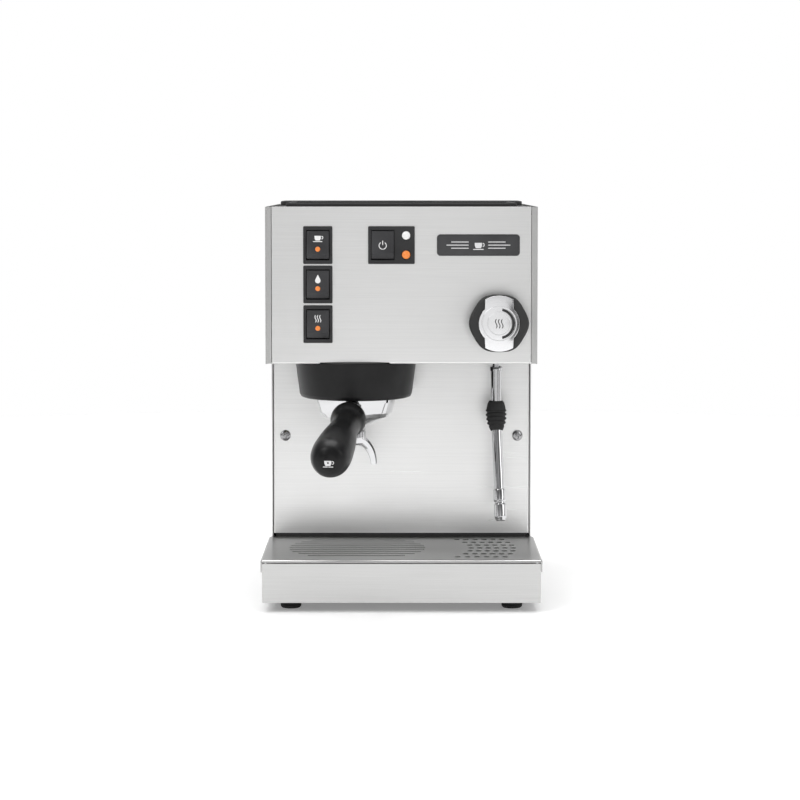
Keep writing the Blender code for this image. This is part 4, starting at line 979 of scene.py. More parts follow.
@dataclass
class Housing:
    """The sheet-metal body, its chassis, its black top and what stands inside it."""

    edge: float = 0.18 * MM
    skins: dict = field(default_factory=lambda: {
        "front_panel": (PANEL_STEEL, "brushed_steel"),
        "splash_panel": (PANEL_STEEL, "brushed_steel"),
        "back_panel": (PANEL_STEEL, "brushed_steel"),
        "side_panel_left": (SHADED_SIDE_STEEL, "brushed_steel"),
        "side_panel_right": (SHADED_SIDE_STEEL, "brushed_steel"),
        "top_frame": (BLACK_PLASTIC, "black_plastic"),
        "tank_deck": (BLACK_PLASTIC, "black_plastic"),
        "power_inlet": (BLACK_PLASTIC, "black_plastic"),
    })
    inside: dict = field(default_factory=lambda: {
        "base_pan": PAINTED,
        "bulkhead": PAINTED,
        "boiler_deck": PAINTED,
        "tank_shelf": PAINTED,
        "pump": BLACK_PLASTIC,
        "boiler": BRASS,
        "solenoid_valve": BRASS,
        "relief_valve": BRASS,
        "steam_valve": BRASS,
        "valve_spindle": BRASS,
        "feed_pipe": COPPER,
        "steam_pipe": COPPER,
        "drain_pipe": COPPER,
        "suction_hose": SILICONE,
        "dip_tube": SILICONE,
        "wand_seat": SILICONE,
        "water_tank": TANK,
        "group_head": BRASS,
        "group_gasket": RUBBER,
    })

    def build(self) -> None:
        """Gives each skin rounded edges, and repaints what stays as it is."""
        for node, (finish, slot) in self.skins.items():
            hand_over(softened(node + "_skin", node, finish, self.edge), "frame", slot, node)
        lid = softened("tank_lid_skin", "tank_lid", BLACK_PLASTIC, self.edge)
        hand_over(lid, "tank_lid", "black_plastic", "tank_lid")
        for node, finish in self.inside.items():
            repaint(node, finish)


def repaint(node: str, finish: Finish) -> None:
    """Gives a CAD node that stays in view a new finish.

    Args:
        node: The CAD node.
        finish: Its new finish.
    """
    for slot in bpy.data.objects[node].material_slots:
        slot.material = finish.material()
    LOG.info("%s is repainted", node)


@dataclass
class DripCover:
    """The perforated cover of the tray, with turned-down edges, and the tray under it."""

    sheet: float = 1.0 * MM
    bend: float = 2.2 * MM
    lip: float = 2.3 * MM
    slot_rows: int = 9
    slot_pitch: float = 10.5 * MM
    slot_width: float = 3.0 * MM
    circle_x: float = -38.0 * MM
    circle_behind: float = 65.4 * MM
    circle_radius: float = 58.8 * MM
    hole_radius: float = 2.7 * MM
    first_row: float = 17.0 * MM
    row_pitch: float = 15.65 * MM
    rows: int = 7
    first_arc: float = 98.0 * MM
    arc_pitch: float = 7.2 * MM
    arcs: int = 6
    tray_edge: float = 0.2 * MM
    front_depth: float = 2.0 * MM
    front_band: float = 2.4 * MM
    front_drop: float = 1.5 * MM

    def build(self) -> None:
        """Makes the cover and the tray."""
        low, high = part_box("drip_grate")
        whole = join(taken(self.perforated(low, high)), self.edges(low, high))
        cover = mesh_object("drip_cover", whole, SHADED_TRAY_STEEL, 30.0)
        hand_over(cover, "drip_grate", "brushed_steel", "drip_grate")
        hand_over(self.tray(low, high), "drip_tray", "brushed_steel", "drip_tray")

    def perforated(self, low: Vector, high: Vector) -> Piece:
        """Makes the flat part, with slots in a circle and holes on arcs about it.

        Args:
            low: The cover's lowest corner.
            high: Its highest corner.

        Returns:
            The flat part.
        """
        sheet = Sheet("cover_flat", SHADED_TRAY_STEEL)
        graph = sheet.graph
        centre_y = low.y + self.circle_behind
        width = sheet.size("Slot width", self.slot_width)
        radius = sheet.size("Circle radius", self.circle_radius)
        across = high.x - low.x - 2 * self.bend
        deep = high.y - low.y - self.bend
        edge = sheet.rectangle(across, deep, 0.0, 0.0, high.y - deep / 2)

        count = sheet.count("Slots", self.slot_rows)
        pitch = sheet.size("Slot pitch", self.slot_pitch)
        start = (self.circle_x, centre_y - (self.slot_rows - 1) / 2 * self.slot_pitch, 0.0)
        step = graph.node("ShaderNodeCombineXYZ", {"Y": pitch}).outputs[0]
        inputs = {"Count": count, "Start Location": start, "Offset": step}
        line = graph.node("GeometryNodeMeshLine", inputs).outputs[0]
        place = graph.node("GeometryNodeInputPosition").outputs[0]
        y = graph.node("ShaderNodeSeparateXYZ", {0: place}).outputs["Y"]
        off = graph.math("SUBTRACT", y, centre_y)
        length = graph.math("MULTIPLY", graph.half_chord(radius, off), 2.0)
        scale = graph.node("ShaderNodeCombineXYZ", {"X": length, "Y": 1.0, "Z": 1.0}).outputs[0]
        inputs = {"Width": 1.0, "Height": width}
        unit = graph.node("GeometryNodeCurvePrimitiveQuadrilateral", inputs).outputs[0]
        slots = sheet.rounded(sheet.copies(line, unit, scale), graph.math("MULTIPLY", width, 0.499))

        inputs = {"Size X": 1.0, "Size Y": 1.0, "Vertices X": sheet.count("Hole rows", self.rows),
                  "Vertices Y": sheet.count("Hole arcs", self.arcs)}
        grid = graph.node("GeometryNodeMeshGrid", inputs).outputs[0]
        split = graph.node("ShaderNodeSeparateXYZ", {0: graph.node("GeometryNodeInputPosition").outputs[0]})
        row = graph.math("MULTIPLY", graph.math("ADD", split.outputs["X"], 0.5), float(self.rows - 1))
        ring = graph.math("MULTIPLY", graph.math("ADD", split.outputs["Y"], 0.5), float(self.arcs - 1))
        pitch = sheet.size("Row pitch", self.row_pitch)
        row_y = graph.math("MULTIPLY_ADD", row, pitch, low.y + self.first_row)
        arc = graph.math("MULTIPLY_ADD", ring, sheet.size("Arc pitch", self.arc_pitch), self.first_arc)
        off = graph.math("SUBTRACT", row_y, centre_y)
        x = graph.math("ADD", graph.half_chord(arc, off), self.circle_x)
        target = graph.node("ShaderNodeCombineXYZ", {"X": x, "Y": row_y}).outputs[0]
        points = graph.node("GeometryNodeSetPosition", {"Geometry": grid, "Position": target}).outputs[0]
        holes = sheet.copies(points, sheet.circle(sheet.size("Hole radius", self.hole_radius)))
        return sheet.finished(sheet.slotted([edge, slots, holes], self.sheet, high.z), 30.0)

    def edges(self, low: Vector, high: Vector) -> Shape:
        """Makes the bent edge: a short lip in front, and deeper flanges at the sides.

        Args:
            low: The cover's lowest corner.
            high: Its highest corner.

        Returns:
            The bent edge as a closed shape.
        """
        half = high.x - self.bend
        front = low.y + self.bend
        top = high.z
        stations = [(-half, high.y, 180, low.z), (-half, front + self.lip, 180, low.z)]
        stations += [(-half, front + self.lip * 0.8, 180, top - self.lip)]
        stations += [(-half, front, 180 + 15 * i, top - self.lip) for i in range(7)]
        stations += [(half, front, 270 + 15 * i, top - self.lip) for i in range(7)]
        stations += [(half, front + self.lip * 0.8, 360, top - self.lip)]
        stations += [(half, front + self.lip, 360, low.z), (half, high.y, 360, low.z)]
        inner = self.bend - self.sheet
        turns = [90 - 90 * i / 8 for i in range(9)]
        rings = []
        for x, y, heading, bottom in stations:
            out = Vector((*polar(1, heading), 0))
            section = [polar(self.bend, turn) for turn in turns] + [(self.bend, bottom - top + self.bend)]
            section += [(inner, bottom - top + self.bend)] + [polar(inner, turn) for turn in reversed(turns)]
            rings.append([Vector((x, y, top - self.bend + z)) + out * d for d, z in section])
        return skinned(rings)

    def tray(self, low: Vector, high: Vector) -> Piece:
        """Makes the tray, whose front stops under the cover's lip.

        Args:
            low: The cover's lowest corner.
            high: Its highest corner.

        Returns:
            The tray.
        """
        piece = softened("tray_body", "drip_tray", SHADED_TRAY_STEEL, self.tray_edge)
        for vertex in piece.data.vertices:
            if vertex.co.y < low.y + self.front_depth and vertex.co.z > high.z - self.front_band:
                vertex.co.z -= self.front_drop
        return piece


def icon_outlines(icon: Icon, size: float) -> list:
    """The shapes that make up a printed sign, about the origin.

    Args:
        icon: Which sign.
        size: Its height.

    Returns:
        A list of outlines.
    """
    line = 0.085 * size
    if icon is Icon.POWER:
        return [arc_stroke(0.40 * size, line, -235, 55), bar((0, 0.10 * size), (0, 0.52 * size), line)]
    if icon is Icon.DROP:
        points = [(0.0, 0.52 * size)]
        for i in range(17):
            angle = math.radians(28 - 236 * i / 16)
            points.append((0.30 * size * math.cos(angle), -0.18 * size + 0.30 * size * math.sin(angle)))
        return [points[::-1]]
    if icon is Icon.CUP:
        bowl = [(-0.36, 0.22), (-0.34, -0.10), (-0.24, -0.30), (0.24, -0.30), (0.34, -0.10), (0.36, 0.22)]
        loop = arc_stroke(0.14 * size, line, -110, 110, 12)
        handle = [(0.46 * size + x * 0.8, 0.02 * size + y) for x, y in loop]
        saucer = bar((-0.48 * size, -0.42 * size), (0.48 * size, -0.42 * size), line)
        return [[(x * size, y * size) for x, y in bowl], handle, saucer]
    strokes = []
    for middle in (-0.26, 0.0, 0.26):
        left, right = [], []
        for i in range(13):
            t = i / 12
            x = middle * size + 0.07 * size * math.sin(math.tau * t)
            y = (t - 0.5) * 0.80 * size
            left.append((x - line / 2, y))
            right.append((x + line / 2, y))
        strokes.append(right + left[::-1])
    return strokes


def printed(icon: Icon, size: float, place: Matrix, height: float = 0.08 * MM) -> Shape:
    """A printed sign as thin closed slabs.

    Args:
        icon: Which sign.
        size: Its height.
        place: Where its middle goes, with local Z outwards.
        height: How far it stands proud.

    Returns:
        The slabs in one mesh.
    """
    return join(*[slab(outline, place, height) for outline in icon_outlines(icon, size)])


@dataclass
class Switches:
    """The rocker switches in their bezels, and the two lamps."""

    knee: float = 0.79
    pivot: float = 4.4 * MM
    hollow: float = 0.30 * MM
    icon: float = 7.6 * MM
    lens: float = 2.3 * MM
    dome: float = 2.2 * MM

    def build(self) -> None:
        """Makes each bezel, each rocker with its sign, and the lamps."""
        for kind in Icon:
            name = kind.value
            bezel = softened("bezel_" + name + "_trim", "bezel_" + name, BEZEL_PLASTIC, 0.35 * MM)
            hand_over(bezel, "frame", "black_plastic", "bezel_" + name)
            self.rocker(kind)
        self.lamp("lamp_power", CLEAR_LENS, "clear_lens")
        self.lamp("lamp_heat", AMBER, "amber_lens")

    def rocker(self, kind: Icon) -> None:
        """Makes one rocker: its body, its sign and, on all but the power switch, its lens.

        Args:
            kind: Which switch.
        """
        body = "rocker_" + kind.value
        low, high, middle = extent(body)
        half = (high.z - low.z) / 2
        pivot_y = low.y + self.pivot
        knee = half - self.knee * 2 * half
        upper, lower = Vector((-self.pivot, knee)), Vector((-2.6 * MM, half - 0.2 * MM))
        face = []
        for i in range(9):
            t = i / 8
            dent = self.hollow * math.sin(math.pi * t)
            face.append(tuple(upper.lerp(lower, t) + Vector((dent, 0))))
        outline = [(1.5 * MM, half - 0.4 * MM), (6.4 * MM, half - 3 * MM), (6.4 * MM, -half + 3 * MM),
                   (1.5 * MM, -half + 0.4 * MM), (-1.6 * MM, -half + 0.2 * MM), *face]
        width = high.x - low.x
        stand = Matrix(((0, 0, 1, low.x), (1, 0, 0, pivot_y), (0, 1, 0, middle.z), (0, 0, 0, 1)))
        piece = mesh_object(body + "_cap", slab(outline[::-1], stand, width, 0.45 * MM), ROCKER_PLASTIC, 28.0)
        hand_over(piece, body, "grey_plastic", body)

        along = (lower - upper).normalized()
        up = Vector((0, along.x, along.y))
        out = Vector((0, -along.y, along.x))

        def on_face(share: float) -> Matrix:
            """The place on the upper face at a share of its height, with local Z outwards."""
            flat = upper.lerp(lower, share)
            dent = self.hollow * math.sin(math.pi * share) - 0.03 * MM
            rows = Matrix((Vector((1, 0, 0)), up, out)).transposed().to_4x4()
            point = Vector((middle.x, pivot_y + flat.x + dent, middle.z + flat.y))
            return Matrix.Translation(point) @ rows

        share = {Icon.CUP: 0.70, Icon.DROP: 0.62, Icon.STEAM: 0.62, Icon.POWER: 0.35}[kind]
        sign = mesh_object(body + "_sign", printed(kind, self.icon, on_face(share)), INK, 30.0)
        hand_over(sign, body, "grey_plastic")
        if kind is Icon.POWER:
            return
        section = ((0.0, 0.55), (0.55, 0.48), (0.85, 0.30), (1.0, -0.5), (0.0, -0.5))
        rim = [(self.lens * share, height * MM) for share, height in section]
        lens = mesh_object(body + "_lens", lathe(rounded(rim, 0.3 * MM), on_face(0.19), 40), AMBER, 50.0)
        hand_over(lens, body, "amber_lens")

    def lamp(self, node: str, finish: Finish, slot: str) -> None:
        """Makes one lamp with a ribbed lens.

        Args:
            node: The CAD node that it replaces.
            finish: The lens's finish.
            slot: Its material slot.
        """
        low, high, middle = extent(node)
        radius = (high.x - low.x) / 2
        face = low.y + self.dome
        profile = [(0, self.dome)]
        for i in range(1, 9):
            share = i / 9
            bump = 0.12 * MM if i % 2 else 0.0
            profile.append((radius * share, self.dome * math.sqrt(1 - share**2 * 0.92) - bump))
        profile += [(radius, 0.5 * MM), (radius, face - high.y), (0, face - high.y)]
        shape = lathe(profile, facing_front(middle.x, face, middle.z), 48)
        hand_over(mesh_object(node + "_lens", shape, finish, 50.0), "frame", slot, node)


@dataclass
class Badge:
    """A dark plate with a plain emblem of a cup between fine lines."""

    border: float = 0.7 * MM
    corner: float = 3.0 * MM
    cup: float = 8.6 * MM
    line: float = 0.7 * MM
    line_pitch: float = 2.6 * MM
    line_start: float = 8.5 * MM
    line_lengths: tuple = (14.0 * MM, 18.0 * MM, 14.0 * MM)

    def build(self) -> None:
        """Makes the plate and the emblem."""
        low, high, middle = extent("badge_plate")
        width, height, thickness = high.x - low.x, high.z - low.z, high.y - low.y
        outline = rounded_rectangle(width, height, self.corner, 8)
        place = facing_front(middle.x, high.y, middle.z)
        plate = slab(outline, place, thickness * 0.8, 0.3 * MM)
        rim = slab(outline, place, thickness, 0.25 * MM)
        pocket = slab(rounded_rectangle(width - 2 * self.border, height - 2 * self.border, 2.4 * MM, 8),
                      place @ Matrix.Translation((0, 0, -1 * MM)), 4 * MM)
        whole = join(taken(cut_out("badge_rim", rim, pocket, BADGE_PLASTIC)), plate)
        piece = mesh_object("badge_body", whole, BADGE_PLASTIC, 30.0)
        hand_over(piece, "frame", "black_plastic", "badge_plate")
        front = facing_front(middle.x, high.y - thickness * 0.8 + 0.02 * MM, middle.z)
        marks = [printed(Icon.CUP, self.cup, front, PRINT_HEIGHT)]
        for side in (-1, 1):
            for row, length in enumerate(self.line_lengths, -1):
                start, end = sorted((side * self.line_start, side * (self.line_start + length)))
                stroke = bar((start, row * self.line_pitch), (end, row * self.line_pitch), self.line)
                marks.append(slab(stroke, front, PRINT_HEIGHT))
        hand_over(mesh_object("badge_emblem", join(*marks), SILVER_INK, 30.0), "frame", "black_plastic")


def cut_out(name: str, body: Shape, tool: Shape, finish: Finish) -> Piece:
    """Cuts one shape out of another.

    Args:
        name: The result's name.
        body: The shape that stays, which is freed.
        tool: The shape that goes, which is freed.
        finish: The result's finish.

    Returns:
        The result as a plain mesh object.
    """
    piece = mesh_object(name, body, finish)
    cutter = mesh_object(name + "_cutter", tool, finish)
    modifier = piece.modifiers.new("cut", "BOOLEAN")
    modifier.operation, modifier.solver, modifier.object = "DIFFERENCE", "EXACT", cutter
    applied(piece)
    bpy.data.objects.remove(cutter)
    piece.data.shade_smooth()
    piece.data.set_sharp_from_angle(angle=math.radians(30))
    return piece


@dataclass
class SteamKnob:
    """The lobed steam knob with its bright face plate."""

    lobes: int = 6
    depth_of_lobes: float = 0.022
    edge: float = 3.0 * MM
    ring_radii: tuple = (14.2 * MM, 9.5 * MM)
    plate_reach: float = 0.93
    plate_waist: float = 0.68
    sign: float = 9.5 * MM
    scale_width: float = 2.2 * MM

    def outline(self, radius: float, steps: int = 144) -> list:
        """The knob's outline.

        Args:
            radius: Its largest radius.
            steps: How many points.

        Returns:
            The points.
        """
        points = []
        for i in range(steps):
            dip = 1 - math.cos(self.lobes * math.tau * i / steps)
            points.append(polar(radius * (1 - self.depth_of_lobes * dip), 360 * i / steps))
        return points

    def build(self) -> None:
        """Makes the knob, the plate, its rings and its signs."""
        low, high, middle = extent("steam_knob")
        radius, depth = (high.x - low.x) / 2, high.y - low.y
        place = facing_front(middle.x, high.y, middle.z)
        stations = [(0.0, 0.90), (0.8 * MM, 0.93), (3 * MM, 0.95), (depth * 0.55, 0.985)]
        stations.append((depth - 4 * MM, 1.0))
        for i in range(1, 8):
            inward, along = polar(self.edge, 90 * i / 7)
            stations.append((depth - self.edge + along, 1 - (self.edge - inward) / radius))
        rings = []
        for along, scale in stations:
            rings.append([place @ Vector((x, y, along)) for x, y in self.outline(radius * scale)])
        knob = mesh_object("knob_body", skinned(rings), BLACK_PLASTIC, 40.0)
        hand_over(knob, "steam_knob", "black_plastic", "steam_knob")
        self.face(middle.x, middle.z, radius)

    def face(self, x: float, z: float, radius: float) -> None:
        """Makes the waisted plate with its rings, scale and sign.

        Args:
            x: The knob's middle.
            z: The knob's middle.
            radius: The knob's radius.
        """
        low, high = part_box("knob_insert")
        place = facing_front(x, high.y, z)
        thickness = high.y - low.y
        reach, waist = radius * self.plate_reach, radius * self.plate_waist
        points = []
        sides = ((reach, 60, 120, 4), (waist, 135, 225, 6), (reach, 240, 300, 4), (waist, -45, 45, 6))
        for size, first, last, step in sides:
            points += [polar(size, angle) for angle in range(first, last + 1, step)]
        plate = slab(points, place, thickness * 0.7, 0.3 * MM)
        rings = []
        for size in self.ring_radii:
            section = ((-0.5, 0.6), (-0.35, 1.0), (0.35, 1.0), (0.5, 0.6), (-0.5, 0.6))
            profile = [(size + across * MM, share * thickness) for across, share in section]
            rings.append(lathe(profile, place))
        piece = mesh_object("knob_plate", join(plate, *rings), SATIN_CHROME, 30.0)
        hand_over(piece, "steam_knob", "chrome", "knob_insert")
        front = place @ Matrix.Translation((0, 0, thickness * 0.7 - 0.02 * MM))
        middle = sum(self.ring_radii) / 2
        scale = slab(arc_stroke(middle, self.scale_width, -78, 78), front, PRINT_HEIGHT)
        signs = join(scale, printed(Icon.STEAM, self.sign, front, PRINT_HEIGHT))
        hand_over(mesh_object("knob_signs", signs, DARK_INK, 30.0), "steam_knob", "black_plastic")


def flowing(points: list, steps: int = 8) -> list:
    """Runs a smooth curve through the points of a profile.

    Args:
        points: (radius, height) points.
        steps: How many points in each stretch.

    Returns:
        The new points.
    """
    line = [Vector(p) for p in points]
    made = []
    for i in range(len(line) - 1):
        before, start = line[max(i - 1, 0)], line[i]
        end, after = line[i + 1], line[min(i + 2, len(line) - 1)]
        for step in range(steps):
            t = step / steps
            a = 2 * start
            b = (end - before) * t
            c = (2 * before - 5 * start + 4 * end - after) * t**2
            d = (3 * start - before - 3 * end + after) * t**3
            point = (a + b + c + d) / 2
            made.append((max(point.x, 0.0), point.y))
    made.append(tuple(line[-1]))
    return made


def bent(points: list, radius: float, steps: int = 10) -> list:
    """A path with its corners replaced by arcs.

    Args:
        points: The corners, from end to end.
        radius: The radius of the bends.
        steps: Segments in each bend.

    Returns:
        The new points.
    """
    made = [points[0]]
    for before, corner, after in zip(points, points[1:], points[2:]):
        back, on = (before - corner).normalized(), (after - corner).normalized()
        half = back.angle(on) / 2
        reach = radius / math.tan(half)
        centre = corner + (back + on).normalized() * (radius / math.sin(half))
        start, end = corner + back * reach - centre, corner + on * reach - centre
        for i in range(steps + 1):
            made.append(centre + start.slerp(end, i / steps).normalized() * radius)
    made.append(points[-1])
    return made


@dataclass
class SteamWand:
    """The bent wand, its ribbed grip and its tip."""

    tube: float = 4.5 * MM
    ball: float = 6.0 * MM
    bend: float = 20.0 * MM
    bend_z: float = 158.0 * MM
    reach: float = 66.5 * MM
    lean: float = 14.5
    outward: float = 0.035
    ribs: int = 7
    grip_radius: float = 9.0 * MM
    tip_radius: float = 5.3 * MM
    tip_length: float = 27.0 * MM

    def build(self) -> None:
        """Makes the tube with its ball, the grip and the tip."""
        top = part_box("wand_tube")[1].z
        x, y, _ = extent("wand_socket")[2]
        ball = Vector((x, y, top - self.ball))
        down, forwards = polar(1, self.lean)
        direction = Vector((self.outward, -forwards, -down)).normalized()
        corner = Vector((x, y, self.bend_z))
        end = corner + direction * self.reach
        path = bent([ball - Vector((0, 0, 9.5 * MM)), corner, end], self.bend, 16)
        pipe = sweep(path, [self.tube] * len(path), 48)
        profile = [(0, self.ball)] + [polar(self.ball, 90 - angle) for angle in range(10, 151, 10)]
        neck = ((3.0, -7.0), (5.0, -7.9), (5.3, -8.4), (5.3, -11.5), (0, -11.5))
        profile += [(radius * MM, height * MM) for radius, height in neck]
        knob = lathe(profile, Matrix.Translation(ball), 64)
        hand_over(mesh_object("wand_pipe", join(pipe, knob), CHROME, 40.0), "wand", "chrome", "wand_tube")
        hand_over(softened("wand_holder", "wand_socket", CHROME, 0.3 * MM), "frame", "chrome", "wand_socket")
        self.grip(corner, direction)
        self.tip(end, direction)

    def grip(self, corner: Vector, direction: Vector) -> None:
        """Makes the egg-shaped grip with raised ribs.

        Args:
            corner: Where the wand bends.
            direction: The way that its lower length points.
        """
        start, end = corner + Vector((0, 0, 10.5 * MM)), corner + direction * 15.5 * MM
        path = bent([start, corner, end], self.bend, 40)
        lengths = [0.0]
        for first, second in zip(path, path[1:]):
            lengths.append(lengths[-1] + (second - first).length)
        total = lengths[-1]
        stations = 90
        centres, radii = [], []
        for i in range(stations + 1):
            t = i / stations
            reach = t * total
            index = max(j for j in range(len(lengths)) if lengths[j] <= reach + 1e-9)
            index = min(index, len(path) - 2)
            part = (reach - lengths[index]) / (lengths[index + 1] - lengths[index])
            centres.append(path[index].lerp(path[index + 1], part))
            egg = 0.62 + 0.32 * math.sin(math.pi * t**0.8) ** 0.7 - 0.05 * max(0.0, t - 0.7) / 0.3
            rib = 0.07 * math.sin(math.tau * self.ribs * t) if 0.28 < t < 0.86 else 0.0
            radii.append(self.grip_radius * min(1.0, egg + rib))
        sleeve = mesh_object("wand_sleeve", sweep(centres, radii, 48), RUBBER, 60.0)
        hand_over(sleeve, "wand", "black_rubber", "wand_grip")

    def tip(self, end: Vector, direction: Vector) -> None:
        """Makes the tip, with a groove round it and an outlet in its end.

        Args:
            end: Where the tube ends.
            direction: The way that it points.
        """
        length = self.tip_length
        outside = ((0, 0), (1, 0), (1, 0.36), (0.84, 0.40), (0.84, 0.46), (1, 0.49), (0.98, 0.88), (0.72, 1))
        profile = [(self.tip_radius * across, length * along) for across, along in outside]
        profile += [(1.3 * MM, length), (0.9 * MM, length - 2 * MM), (0, length - 2 * MM)]
        place = frame_of(end + direction * 0.3 * MM, direction)
        nozzle = mesh_object("wand_nozzle", lathe(rounded(profile, 0.7 * MM), place, 64), CHROME, 35.0)
        hand_over(nozzle, "wand", "chrome", "wand_tip")


@dataclass
class Group:
    """The black cone round the group and the parts seen under it."""

    wall: float = 2.0 * MM
    wide: float = 52.2 * MM
    narrow: float = 48.1 * MM
    bore: float = 26.0 * MM
    screen_sheet: float = 1.0 * MM
    screen_hole: float = 0.8 * MM
    screen_rings: int = 5

    def build(self) -> None:
        """Makes the cover and the perforated screen."""
        low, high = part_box("group_cover")
        x, y = GROUP.x, GROUP.y
        top = high.z
        lip = ((0.3, 3.4), (-0.9, 0.8), (-3.0, 0.0), (-4.5, 0.0), (-3.0, 2.0))
        profile = [(self.bore, top), (self.wide, top)]
        profile += [(self.narrow + out * MM, low.z + up * MM) for out, up in lip]
        under = top - self.wall
        profile += [(self.wide - self.wall - 1 * MM, under), (self.bore, under), (self.bore, top)]
        cover = lathe(rounded(profile, 1.6 * MM), Matrix.Translation((x, y, 0)), 144)
        geometry = list(cover.verts) + list(cover.edges) + list(cover.faces)
        bmesh.ops.bisect_plane(cover, geom=geometry, plane_co=(0, high.y, 0), plane_no=(0, 1, 0),
                               clear_outer=True)
        bmesh.ops.holes_fill(cover, edges=[e for e in cover.edges if e.is_boundary])
        bmesh.ops.recalc_face_normals(cover, faces=cover.faces)
        shroud = mesh_object("group_shroud", cover, GROUP_PLASTIC, 30.0)
        hand_over(shroud, "frame", "black_plastic", "group_cover")
        self.screen(x, y)

    def screen(self, x: float, y: float) -> None:
        """Makes the shower screen, perforated on rings.

        Args:
            x: The group's axis.
            y: The group's axis.
        """
        low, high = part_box("shower_screen")
        sheet = Sheet("shower_plate", CHROME)
        graph = sheet.graph
        radius = (high.x - low.x) / 2
        edge = sheet.circle(radius, 96)
        step = radius / (self.screen_rings + 2)
        outlines = [edge]
        hole = sheet.circle(sheet.size("Hole radius", self.screen_hole), 10)
        for ring in range(1, self.screen_rings + 1):
            count = sheet.count(f"Holes in ring {ring}", 6 * ring + 2)
            points = graph.node("GeometryNodeMeshCircle", {"Vertices": count, "Radius": step * ring})
            outlines.append(sheet.copies(points.outputs[0], hole))
        flat = sheet.slotted(outlines, self.screen_sheet, high.z)
        hand_over(sheet.finished(sheet.moved(flat, (x, y, 0.0))), "frame", "chrome", "shower_screen")


